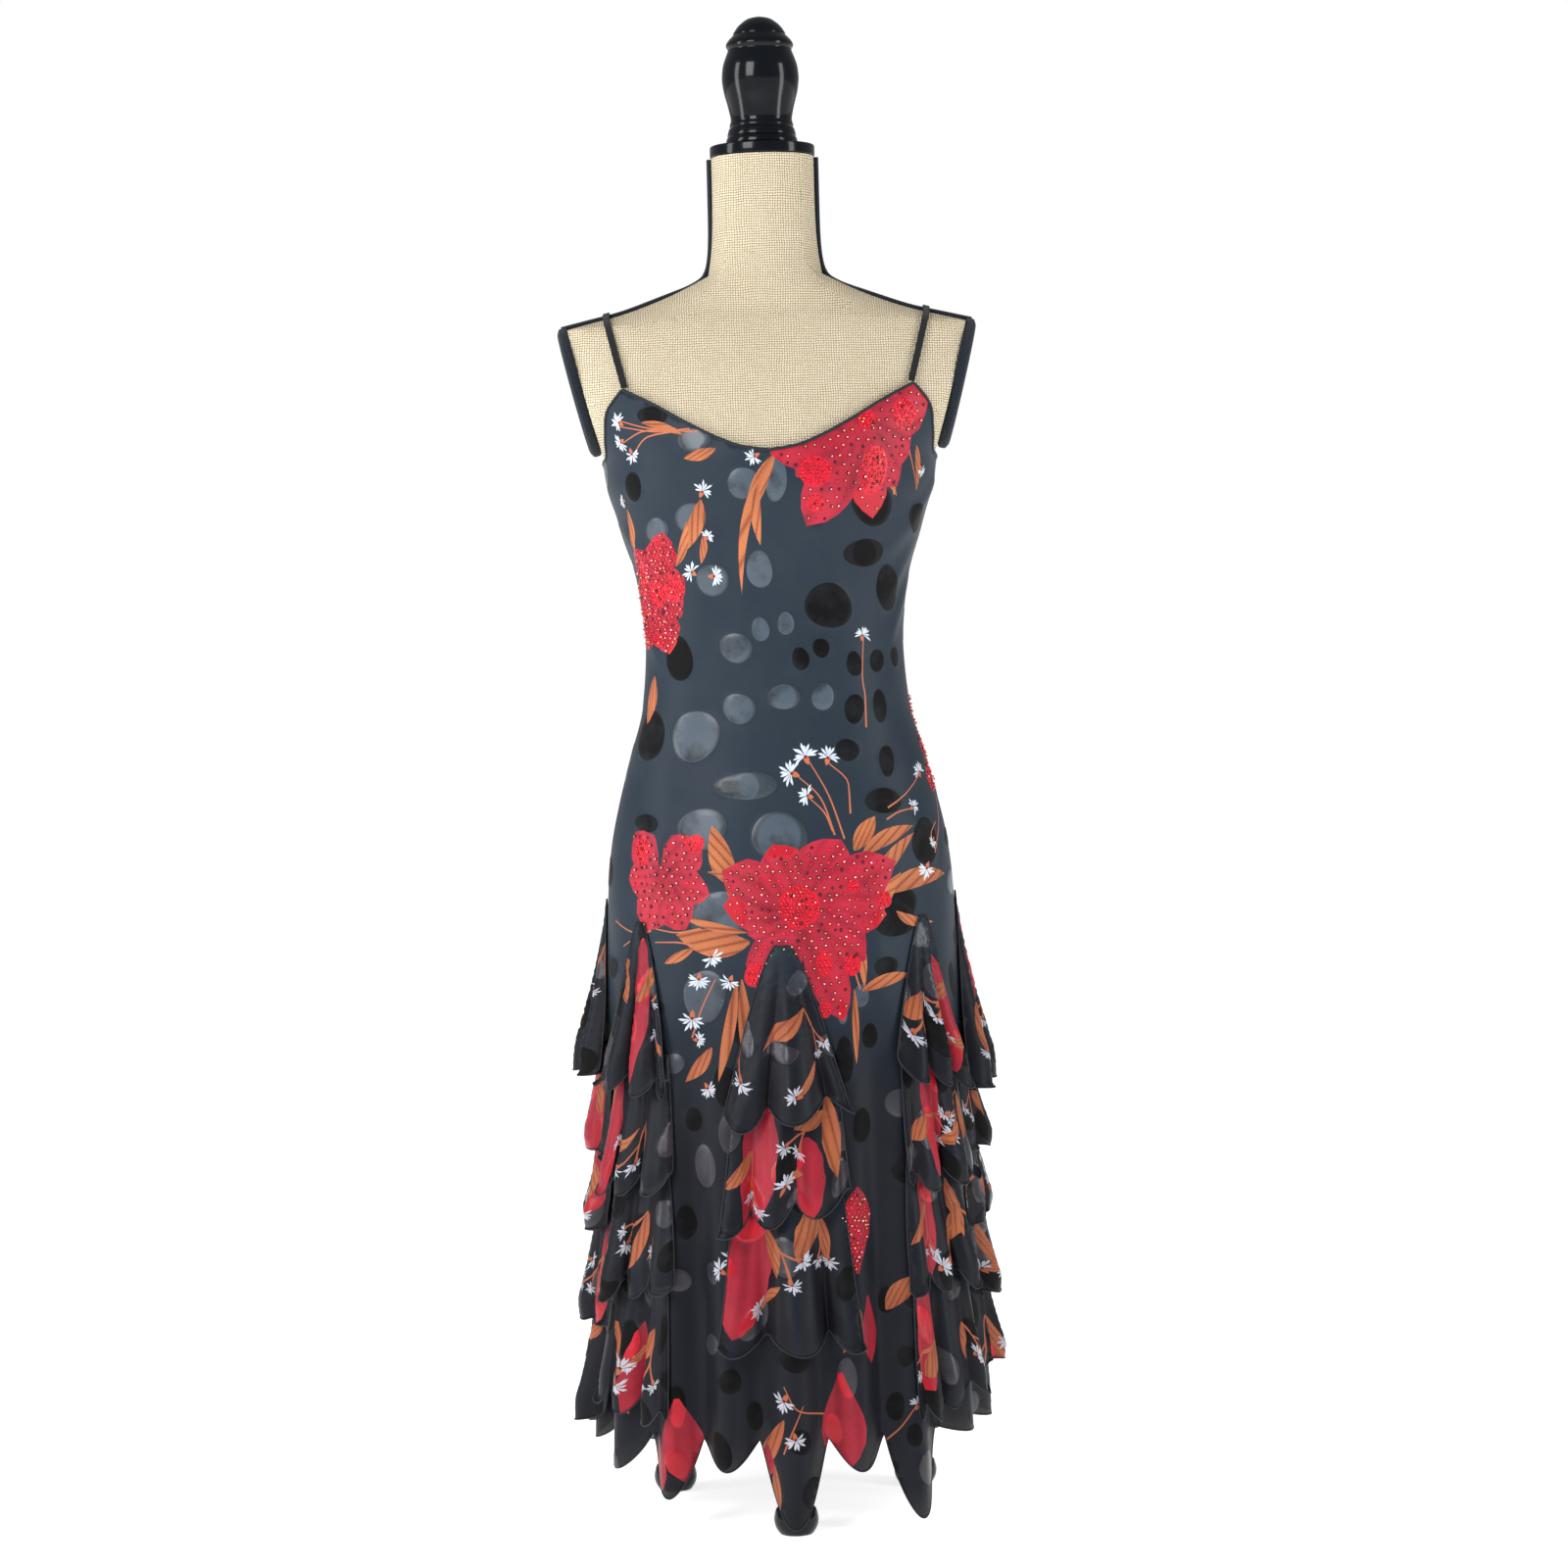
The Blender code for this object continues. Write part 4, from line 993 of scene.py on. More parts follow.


# Red, painted sheen-lit dot and leaf places on single tiers: across from -1 to 1 and down from 0 to
# 1
Accent = namedtuple("Accent", "column tier kind across down way length width")
ACCENTS = named_rows(Accent, (
    ("front_left", 1, PETAL, 0.55, 0.10, 176, 0.130, 0.026),
    ("side_left", 2, PETAL, 0.62, 0.05, 184, 0.100, 0.036),
    ("side_left", 3, PETAL, 0.55, 0.05, 176, 0.080, 0.034),
    ("side_left", 4, PETAL, 0.80, 0.20, 178, 0.090, 0.022),
    ("front_left", 2, PETAL, -0.80, 0.02, 178, 0.120, 0.040),
    ("front_left", 4, PETAL, 0.10, 0.45, 178, 0.090, 0.034),
    ("center", 2, PETAL, -0.45, 0.05, 182, 0.120, 0.036),
    ("center", 2, PETAL, 0.35, 0.42, 178, 0.070, 0.024),
    ("center", 3, PETAL, -0.62, 0.20, 186, 0.100, 0.050),
    ("center", 3, LEAF, 0.10, 0.45, 24, 0.056, 0.022),
    ("center", 2, LEAF, 0.72, 0.10, 172, 0.080, 0.020),
    ("front_right", 1, PETAL, 0.30, 0.25, 170, 0.110, 0.030),
    ("front_right", 2, PETAL, -0.25, 0.02, 176, 0.110, 0.034),
    ("front_right", 3, PETAL, -0.55, 0.02, 178, 0.125, 0.030),
    ("front_right", 4, PETAL, -0.70, 0.05, 182, 0.110, 0.028),
    ("front_right", 4, LEAF, -0.30, 0.20, 20, 0.050, 0.020),
    ("front_right", 3, LEAF, 0.20, 0.25, 160, 0.050, 0.016),
    ("side_right", 1, PETAL, -0.20, 0.02, 178, 0.100, 0.024),
    ("side_right", 4, SHEEN_LIT_DOT, -0.55, 0.62, 0, 0.040, 0.036),
    ("side_right", 3, SHEEN_LIT_DOT, -0.60, 0.60, 10, 0.036, 0.014),
    ("side_right", 5, PETAL, -0.50, 0.85, 120, 0.040, 0.020),
    ("back_left", 1, PETAL, 0.20, 0.15, 178, 0.100, 0.030),
    ("back_left", 3, PETAL, -0.30, 0.05, 178, 0.110, 0.036),
    ("back", 2, PETAL, 0.40, 0.05, 178, 0.100, 0.036),
    ("back", 4, PETAL, -0.35, 0.05, 176, 0.110, 0.040),
    ("back_right", 2, PETAL, -0.10, 0.05, 182, 0.100, 0.032),
    ("back_right", 4, PETAL, 0.40, 0.10, 178, 0.110, 0.036),
))
RUFFLE_FULLNESS = 1.35
RUFFLE_RADIUS = 0.162
RUFFLE_THICK = 0.0004
RUFFLE_SPACING, SIDE_CUT, FOOT_CUT = 0.0040, 0.004, 0.003
HEM_RADIUS = 0.0007
# The flounces' small folds, the gathers at their seam, and where the foot starts to turn in
FINE_FOLD, SEAM_GATHER = 0.0026, 0.0009
TUCK_START, TUCK_REACH = 0.80, 0.20
FLOUNCE_SHEER, FLOUNCE_SHEER_START = 0.08, 0.70
WaveLook = namedtuple("WaveLook", "drift slant second phase fold")


def wave_swing(column, tier, look, across, down):
    """How far along its waves each point of one tier lies, as an angle."""
    swing = 2 * np.pi * (tier.waves * (across + 1) / 2 + tier.start + column.start)
    return swing + look.drift * down * np.sin(2.3 * across + look.phase)


def ruffle_points(column, tier, first, look, across, down, out=0.0):
    """Points of one tier: across from -1 to 1, down from 0 at the seam to 1 at the foot."""
    narrow = APEX_HALF_TURN if first else column.half * TIER_TOP_SHARE
    half = narrow + (column.half - narrow) * down ** 0.75
    swing = wave_swing(column, tier, look, across, down)
    turn = column.turn + across * half
    z = tier.top + (tier.foot - tier.top) * down
    z = z - RUFFLE_DIP * down * np.cos(swing) + look.slant * down * across
    curl = HEM_CURL * (abs(abs(column.turn) - 90) > 30) - SIDE_CURL
    z = z - curl * down ** 2 * np.cos(swing + 0.4 * np.sin(3 * across + look.phase))
    crest = crest_share(swing)
    lift = RUFFLE_LIFT * down ** 1.2 + tier.flare * down ** 1.6 * crest
    lift = lift + look.second * down * crest_share(2 * swing + look.phase)
    fine = FINE_FOLD * down ** 0.6 * (1 - 0.6 * down)
    lift = lift + fine * crest_share(4 * swing + 2.1 * look.phase)
    lift = lift + SEAM_GATHER * (1 - down) ** 2 * crest_share(6 * swing)
    lift = lift * (1 - 0.92 * np.abs(across) ** 2.2 * np.clip(1 - down, 0, 1) ** 0.3)
    lift = lift - HEM_TUCK * crest * np.clip((down - TUCK_START) / TUCK_REACH, 0, 1) ** 1.6
    normal = outward(turn)
    along = np.stack((-normal[..., 1], normal[..., 0], np.zeros(np.shape(turn))), -1)
    push = (RUFFLE_SEAM_GAP + lift + out)[..., None] * normal
    side = (RUFFLE_SWAY + look.fold) * down * np.sin(swing)
    return dress_points(turn, z) + push + side[..., None] * along


def fold_depth(column, tier, look, across, down):
    """How much painted shade a point of one tier gets, by how deep in a fold it lies: 0 on a crest
    and 1 in a valley.
    """
    swing = wave_swing(column, tier, look, across, down)
    broad = 0.5 - 0.5 * np.cos(swing)
    fine = 0.5 - 0.5 * np.cos(4 * swing + 2.1 * look.phase)
    folded = 0.70 + 0.45 * broad ** 1.3 + 0.25 * fine
    return np.clip(folded, 0, 1) * np.clip(2.2 * down + 0.25, 0, 1)


def ruffle_flat(column, tier, first):
    """The flat cut of one tier: its length and its half width at each place down."""
    widest = math.radians(column.half) * RUFFLE_RADIUS * RUFFLE_FULLNESS
    start = APEX_HALF_TURN / column.half if first else TIER_TOP_SHARE

    def half_width(down):
        return widest * (start + (1 - start) * down ** 0.75)

    return tier.top - tier.foot, half_width


def ruffle_outline(length, half_width):
    down = np.linspace(0, 1, max(int(length / SIDE_CUT), 8))
    sides = np.stack((half_width(down), -down * length), -1)
    bottom = np.linspace(1, -1, max(int(2 * half_width(1.0) / FOOT_CUT), 20))[1:-1]
    foot = np.stack((bottom * half_width(1.0), np.full(len(bottom), -length)), -1)
    left = (sides * (-1, 1))[::-1]
    return np.concatenate((sides, foot, left))


def ruffle_print(draw, column, number, length, half_width):
    wide = half_width(1.0)
    box = np.array(((-wide, -length), (wide, -length), (wide, 0), (-wide, 0)))
    made = free_dots(draw, box, [], draw.choice((6, 7, 8)), -length, 0.0, 0.004)
    for accent in ACCENTS:
        if (accent.column, accent.tier) == (column.name, number):
            root = np.array((accent.across * half_width(accent.down), -accent.down * length))
            if accent.kind == SHEEN_LIT_DOT:
                made.append(oval(SHEEN_LIT_DOT, root, accent.width, accent.length, accent.way))
            else:
                blunt = 0.42 if accent.kind == PETAL else 0.85
                made.append(blade(accent.kind, root, *accent[5:], 0.5, 0.08, 14, 0.05, blunt))
    for side in (-0.45, 0.45):
        root = np.array(((side + draw.uniform(-0.2, 0.2)) * wide, -draw.uniform(0.2, 0.6) * length))
        made.append(leaf(root, draw.uniform(130, 230), draw.uniform(0.03, 0.05), 0.014, 0.25))
        made += spray(root, draw.uniform(110, 250), min(length, 0.09) * 0.55, draw, 2)
    root = np.array((draw.uniform(-0.6, 0.6) * wide, -draw.uniform(0.7, 0.85) * length))
    made.append(leaf(root, draw.uniform(60, 120), draw.uniform(0.02, 0.04), 0.008, -0.3))
    made += daisy(root, draw.uniform(-80, 80), draw.uniform(0.009, 0.012), draw)
    return made


def unit(ways):
    """The same ways, each of length 1."""
    return ways / np.linalg.norm(ways, axis=1)[:, None]


def tube(name, path, faces_out, radius, flat=1.0, sides=5):
    """A thin cord along a path, turned so that its flat side looks outwards."""
    run = unit(np.gradient(path, axis=0))
    beside = unit(np.cross(run, faces_out))
    high = np.cross(beside, run)
    angle = 2 * np.pi * (np.arange(sides) + 0.5) / sides
    rings = (
        path[:, None, :] + radius * np.cos(angle)[None, :, None] * beside[:, None, :]
        + radius * flat * np.sin(angle)[None, :, None] * high[:, None, :]
    )
    count = len(path)
    faces = [
        (row * sides + side, (row + 1) * sides + side,
         (row + 1) * sides + (side + 1) % sides, row * sides + (side + 1) % sides)
        for row in range(count - 1) for side in range(sides)
    ]
    faces.append(tuple(range(sides)))
    faces.append(tuple((count - 1) * sides + side for side in reversed(range(sides))))
    mesh = bpy.data.meshes.new(name)
    mesh.from_pydata(rings.reshape(-1, 3).tolist(), [], faces)
    mesh.materials.append(bpy.data.materials["rolled_hem"])
    mesh.shade_smooth()
    obj = linked(name, mesh)
    only(obj)
    bpy.ops.object.mode_set(mode="EDIT")
    bpy.ops.mesh.select_all(action="SELECT")
    bpy.ops.mesh.normals_make_consistent(inside=False)
    bpy.ops.object.mode_set(mode="OBJECT")
    return obj


def join(target, *others):
    only(target)
    for other in others:
        other.select_set(True)
    bpy.ops.object.join()


def ruffle(column, index, number, tier):
    """One tier of a flounce column: printed, waved and hemmed."""
    first = number == 1
    draw = random.Random(100 * index + number)
    look = WaveLook(
        draw.uniform(0.3, 0.9), draw.uniform(-0.013, 0.013), draw.uniform(0.001, 0.003),
        draw.uniform(0, 6.28), draw.uniform(0.0002, 0.0012))
    length, half_width = ruffle_flat(column, tier, first)
    outline = ruffle_outline(length, half_width)

    def shares(flat):
        down = np.clip(-flat[:, 1] / length, 0, 1)
        return np.clip(flat[:, 0] / half_width(down), -1, 1), down

    def place(flat, lift=0.0):
        return ruffle_points(column, tier, first, look, *shares(flat), RUFFLE_THICK + lift)

    def sheer(spots):
        down = np.clip((tier.top - spots[:, 2]) / length, 0, 1)
        reach = (down - FLOUNCE_SHEER_START) / (1 - FLOUNCE_SHEER_START)
        return FLOUNCE_SHEER * np.clip(reach, 0, 1)

    # Painted shade of each point, darkest in the folds' valleys
    def depth(flat):
        return fold_depth(column, tier, look, *shares(flat))

    name = f"flounce_{column.name}_{number}"
    motifs = ruffle_print(draw, column, number, length, half_width)
    obj = cloth_object(name, outline, motifs, RUFFLE_SPACING, place, RUFFLE_THICK, sheer, depth)
    path = place(outline)
    join(obj, tube(name + "_hem", path, outward(turn_of(path)), HEM_RADIUS))
    stand_for(obj, f"ruffle_{column.name}_{number}")
    area = sum(
        half_width(down) * 2 * length / 20 for down in np.linspace(0.025, 0.975, 20))
    flat = (2 * half_width(1.0), length)


SEQUIN_RADIUS, SEQUIN_LIFT = 0.0015, 0.0005
BEAD_RADIUS, BEAD_LIFT = 0.0010, 0.0014
DISC_SPACING = 0.0038
# How far rows of beads lie apart, beside their spacing, and how far each bead strays
ROW_RISE, STRAY, SEQUIN_TILT = 0.87, 0.22, 0.35
PETAL_INSET, CLOTH_INSET = 0.06, 0.006
# Shares of red sequins and of sequins with a bead: on a close flower, an open one and a disc
CLOSE_SPACING, CLOSE_SHARES, OPEN_SHARES = 0.006, (0.92, 0.25), (0.45, 0.75)
DISC_SHARES, GOLD_SHARE = (0.96, 0.06), 0.6


def bead_places(motifs, spacing, draw):
    """Uneven rows of flat places inside the petals of one flower."""
    rings = [motif.ring for motif in motifs]
    points = np.concatenate(rings)
    low, high = points.min(0), points.max(0)
    spots = []
    for row, up in enumerate(np.arange(low[1], high[1], spacing * ROW_RISE)):
        for across in np.arange(low[0] + spacing / 2 * (row % 2), high[0], spacing):
            spots.append((across + draw.uniform(-STRAY, STRAY) * spacing,
                          up + draw.uniform(-STRAY, STRAY) * spacing))
    spots = np.array(spots)
    covered = np.zeros(len(spots), bool)
    for ring in rings:
        covered |= inside(ring + (ring.mean(0) - ring) * PETAL_INSET, spots)
    return spots[covered]


def scattered(name, template, places, frames, sizes, material):
    """Copies of a small template at each place, in one mesh."""
    points = np.array([tuple(vert.co) for vert in template.vertices])
    faces = [tuple(face.vertices) for face in template.polygons]
    solid = np.einsum("pk,nkj->npj", points, frames) * sizes[:, None, None] + places[:, None, :]
    all_faces = [
        tuple(corner + index * len(points) for corner in face)
        for index in range(len(places)) for face in faces
    ]
    mesh = bpy.data.meshes.new(name)
    mesh.from_pydata(solid.reshape(-1, 3).tolist(), [], all_faces)
    mesh.materials.append(bpy.data.materials[material])
    mesh.shade_smooth()
    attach(linked(name, mesh), "root")


def template_mesh(kind, radius):
    """A small bead or a dished sequin, modelled once."""
    if kind == "bead":
        bpy.ops.mesh.primitive_ico_sphere_add(subdivisions=1, radius=radius)
    else:
        bpy.ops.mesh.primitive_cone_add(
            vertices=8, radius1=radius, radius2=radius * 0.62, depth=radius * 0.3)
    obj = bpy.context.object
    mesh = obj.data.copy()
    bpy.data.objects.remove(obj)
    return mesh


def surface_frames(place, spots, lift):
    """Where small things sit on a sheet, and the axes that they stand in."""
    step = 0.0006
    root = place(spots, lift)
    across = unit(place(spots + (step, 0), lift) - root)
    out = unit(np.cross(across, place(spots + (0, step), lift) - root))
    return root, np.stack((across, np.cross(out, across), out), 1)


def beaded_groups(table, middle, blooms, draw):
    """Flat places on one panel's flowers and discs, each group with its shares of beads."""
    discs, groups = front_discs(table) if middle == 0 else [], []
    for bloom in blooms:
        root = np.array((bloom.column, bloom.row))
        if middle == 0:
            root = flat_place(table, bloom.column, bloom.row)
        if bloom.heart:
            discs.append(oval(GLOW, root, bloom.heart, bloom.heart))
        shares = CLOSE_SHARES if bloom.spacing < CLOSE_SPACING else OPEN_SHARES
        spots = bead_places(flower(root, bloom.petals, 0), bloom.spacing, draw)
        groups.append((spots, shares))
    for number, (spots, shares) in enumerate(groups):
        for disc in discs:
            spots = spots[~inside(disc.ring, spots)]
        groups[number] = (spots, shares)
    return groups + [(bead_places([disc], DISC_SPACING, draw), DISC_SHARES) for disc in discs]


def flower_beads():
    """Sequins with a bead in each, over every red flower of both panels."""
    draw = random.Random(5)
    bead, sequin = template_mesh("bead", BEAD_RADIUS), template_mesh("sequin", SEQUIN_RADIUS)
    found = {"gold_bead": [], "rose_bead": [], "dark_sequin": [], "red_sequin": []}
    for middle, blooms in ((0.0, FLOWERS), (180.0, BACK_FLOWERS)):
        table = arc_table(middle)
        place, outline = panel_place(table, middle), panel_outline(table, middle)
        edge = outline + (outline.mean(0) - outline) * CLOTH_INSET
        for spots, (red, beaded) in beaded_groups(table, middle, blooms, draw):
            for spot in spots[inside(edge, spots)]:
                kind = "red_sequin" if draw.random() < red else "dark_sequin"
                found[kind].append((place, spot))
                if draw.random() < beaded:
                    kind = "gold_bead" if draw.random() < GOLD_SHARE else "rose_bead"
                    found[kind].append((place, spot))
    for kind, entries in found.items():
        small = kind.endswith("bead")
        spots, frames = [], []
        for place in dict.fromkeys(place for place, _ in entries):
            flat = np.array([spot for other, spot in entries if other is place])
            root, axes = surface_frames(place, flat, BEAD_LIFT if small else SEQUIN_LIFT)
            spots.append(root)
            frames.append(axes)
        spots, frames = np.concatenate(spots), np.concatenate(frames)
        sizes = np.array([draw.uniform(0.8, 1.15) for _ in spots])
        if not small:
            tilt = np.array([
                [draw.uniform(-SEQUIN_TILT, SEQUIN_TILT) for _ in range(2)] for _ in spots])
            frames = frames.copy()
            frames[:, 2] += frames[:, 0] * tilt[:, :1] + frames[:, 1] * tilt[:, 1:]
        scattered(kind + "s", bead if small else sequin, spots, frames, sizes, kind)
    for mesh in (bead, sequin):
        bpy.data.meshes.remove(mesh)


BINDING_RADIUS, BINDING_DROP = 0.0016, 0.001
SEAM_TAPE, SEAM_TAPE_SUNK = 0.0022, 0.0004


def panel_trims(name, middle):
    """The rolled hem and the narrow binding of one panel; the front has the side seams' tape."""
    limit = 90 - SIDE_SEAM_TURN
    top = np.linspace(-limit, limit, 241)
    hem = np.linspace(-limit, limit, 481)
    height = top_edge_z(middle, top) - BINDING_DROP
    upper = dress_points(middle + top, height, -DRESS_THICK / 2)
    lower = dress_points(middle + hem, hem_z(middle + hem), -DRESS_THICK / 2)
    binding = tube(name + "_binding", upper, outward(middle + top), BINDING_RADIUS, 0.75, 6)
    rolled = tube(name + "_hem", lower, outward(middle + hem), HEM_RADIUS)
    if middle:
        return binding, rolled
    seams = []
    for turn in (-90.0, 90.0):
        up = np.linspace(hem_z(np.array(turn)), smooth_edge(FRONT_EDGE, np.array(90.0)), 160)
        turns = np.full(len(up), turn)
        within = dress_points(turns, up, -DRESS_THICK - SEAM_TAPE_SUNK)
        seams.append(tube(f"{name}_seam_{len(seams)}", within, outward(turns), SEAM_TAPE, 0.35, 6))
    return binding, rolled, *seams


# Materials: every group puts out masks and heights, and the colours stay in the materials
def add_node(tree, kind, **settings):
    node = tree.nodes.new(kind)
    for name, value in settings.items():
        setattr(node, name, value)
    return node


def feed(tree, node, **inputs):
    """Links or sets a node's inputs by name or, as i0 and i1, by number."""
    for name, value in inputs.items():
        socket = node.inputs[int(name[1:]) if name.startswith("i") else name.replace("_", " ")]
        if isinstance(value, bpy.types.NodeSocket):
            tree.links.new(value, socket)
        else:
            socket.default_value = value
    return node


def maths(tree, operation, *values, clamp=False):
    node = add_node(tree, "ShaderNodeMath", operation=operation, use_clamp=clamp)
    return feed(tree, node, **{f"i{index}": value for index, value in enumerate(values)}).outputs[0]


def times(tree, first, second):
    return maths(tree, "MULTIPLY", first, second)


def scaled(tree, value, gain, start, clamp=False):
    """A value times its gain, plus a start."""
    return maths(tree, "MULTIPLY_ADD", value, gain, start, clamp=clamp)


def node_wave(tree, angle):
    """The sine of an angle, brought between 0 and 1."""
    return scaled(tree, maths(tree, "SINE", angle), 0.5, 0.5)


def vector_maths(tree, operation, **inputs):
    node = add_node(tree, "ShaderNodeVectorMath", operation=operation)
    return feed(tree, node, **inputs).outputs[0]


def noise(tree, **inputs):
    return feed(tree, add_node(tree, "ShaderNodeTexNoise"), **inputs).outputs


def split(tree, vector):
    """The three parts of a vector."""
    return feed(tree, add_node(tree, "ShaderNodeSeparateXYZ"), Vector=vector).outputs


def blend_colour(tree, share, first, second):
    """Mixes two colours, each a socket or a tuple of three tones."""
    node = add_node(tree, "ShaderNodeMix", data_type="RGBA")
    first, second = (
        (*colour, 1.0) if isinstance(colour, tuple) else colour for colour in (first, second)
    )
    feed(tree, node, i0=share, i6=first, i7=second)
    return node.outputs[2]


def new_group(name, outputs, **inputs):
    """A node group of values; an input that has no value of its own is a vector."""
    group = bpy.data.node_groups.new(name, "ShaderNodeTree")
    for label, value in inputs.items():
        kind = "NodeSocketVector" if value is None else "NodeSocketFloat"
        socket = group.interface.new_socket(label, in_out="INPUT", socket_type=kind)
        if value is not None:
            socket.default_value = value
    for label in outputs:
        group.interface.new_socket(label, in_out="OUTPUT", socket_type="NodeSocketFloat")
    given = group.nodes.new("NodeGroupInput").outputs
    return group, given, group.nodes.new("NodeGroupOutput")


def weave_group():
    """A plain weave: threads over and under, of uneven thickness, with slubs and gaps."""
    group, given, end = new_group(
        "thread_weave", ("Height", "Gap", "Tone"), Place=None, Pitch=0.0015, Slub=0.3)
    place = given["Place"]
    wander = noise(group, Vector=place, Scale=45.0, Detail=2.0)
    offset = vector_maths(group, "SUBTRACT", i0=wander["Color"], i1=(0.5, 0.5, 0.5))
    sway = vector_maths(group, "SCALE", i0=offset, Scale=0.0035)
    moved = vector_maths(group, "ADD", i0=place, i1=sway)
    rate = maths(group, "DIVIDE", 1.0, given["Pitch"])
    x, y, _ = split(group, vector_maths(group, "SCALE", i0=moved, Scale=rate))
    threads = []
    for axis, other in ((x, y), (y, x)):
        across = maths(group, "ABSOLUTE", maths(group, "SINE", times(group, axis, math.pi)))
        along = add_node(group, "ShaderNodeCombineXYZ")
        feed(group, along, X=maths(group, "FLOOR", axis), Y=times(group, other, 0.12))
        slub = noise(group, Vector=along.outputs[0], Scale=1.7, Detail=1.0)[0]
        thick = scaled(group, slub, given["Slub"], 0.75)
        threads.append((times(group, across, thick), slub))
    cell = maths(group, "ADD", maths(group, "FLOOR", x), maths(group, "FLOOR", y))
    over = maths(group, "PINGPONG", cell, 1.0)
    (warp, warp_tone), (weft, weft_tone) = threads
    under = maths(group, "SUBTRACT", 1.0, over)
    upper = maths(group, "ADD", times(group, warp, over), times(group, weft, under))
    lower = maths(group, "MINIMUM", warp, weft)
    height = maths(group, "MAXIMUM", upper, times(group, lower, 0.8))
    gap = scaled(group, height, -2.6, 1.75, clamp=True)
    tone = times(group, maths(group, "ADD", warp_tone, weft_tone), 0.5)
    feed(group, end, Height=height, Gap=gap, Tone=tone)


def mottle_group():
    """Soft cloudy unevenness with a fine grain, for dyed cloth and paint."""
    group, given, end = new_group(
        "soft_mottle", ("Tone", "Fine"), Place=None, Size=0.03, Grain=0.0004)
    size, grain = (maths(group, "DIVIDE", 1.0, given[name]) for name in ("Size", "Grain"))
    broad = noise(group, Vector=given["Place"], Detail=4.0, Roughness=0.6, Scale=size)
    fine = noise(group, Vector=given["Place"], Detail=2.0, Scale=grain)
    feed(group, end, Tone=broad[0], Fine=fine[0])


def sheer_group():
    """How solid the cloth looks, and its painted shade: sheer thins it, and painted shade darkens
    deep folds and the lower skirt.
    """
    group, given, end = new_group("sheer_cloth", ("Alpha", "Thin", "Deep"), Clear=0.5)
    deep, thin = (
        add_node(group, "ShaderNodeAttribute", attribute_name=name).outputs["Fac"]
        for name in ("fold_depth", "sheer"))
    share = times(group, thin, given["Clear"])
    feed(group, end, Alpha=maths(group, "SUBTRACT", 1.0, share), Thin=thin, Deep=deep)


def use_group(tree, name, **inputs):
    node = add_node(tree, "ShaderNodeGroup", node_tree=bpy.data.node_groups[name])
    return feed(tree, node, **inputs).outputs


def new_material(name, **shader_values):
    made = bpy.data.materials.new(name)
    made.use_nodes = True
    shader = made.node_tree.nodes["Principled BSDF"]
    feed(made.node_tree, shader, **shader_values)
    return made.node_tree, shader


def uv_place(tree, name):
    return add_node(tree, "ShaderNodeUVMap", uv_map=name).outputs[0]


def object_place(tree):
    return add_node(tree, "ShaderNodeTexCoord").outputs["Object"]


def bump(tree, shader, height, distance, strength=1.0):
    node = add_node(tree, "ShaderNodeBump")
    feed(tree, node, Height=height, Distance=distance, Strength=strength)
    feed(tree, shader, Normal=node.outputs[0])


# Each printed kind: its second tone, roughness, gloss, sheen, how clear it gets and its grain
Dye = namedtuple("Dye", "kind second rough gloss sheen clear grain_height")
DYES = named_rows(Dye, (
    ("ground", (0.020, 0.030, 0.040), 0.46, 0.15, 0.03, 0.50, 0.00006),
    # The pile dot's painted sheen-lit copy; its own dark colour is the velvet dot
    ("satin_dot", (0.006, 0.008, 0.010), 0.34, 0.40, 0.10, 0.36, 0.00006),
    ("velvet_dot", (0.012, 0.013, 0.016), 0.60, 0.10, 0.08, 0.10, 0.00010),
    ("leaf", (0.16, 0.032, 0.016), 0.50, 0.20, 0.05, 0.30, 0.00005),
    ("stem", (0.50, 0.13, 0.060), 0.50, 0.20, 0.05, 0.25, 0.00005),
    ("red_petal", (0.14, 0.005, 0.014), 0.46, 0.22, 0.08, 0.34, 0.00006),
    ("red_glow", (0.30, 0.002, 0.010), 0.36, 0.35, 0.08, 0.30, 0.00006),
    ("daisy", (0.56, 0.63, 0.72), 0.50, 0.20, 0.00, 0.15, 0.00004),
    ("core", (0.10, 0.006, 0.010), 0.60, 0.15, 0.00, 0.20, 0.00004),
))


# What painted shade in a deep fold keeps of each tone, the tint of sheer cloth, and how pale the
# specks are
FOLD_SHADE = (0.30, 0.13, 0.15)
SHEER_TINT = (0.040, 0.033, 0.028)
SPECK_GAIN = 1.9


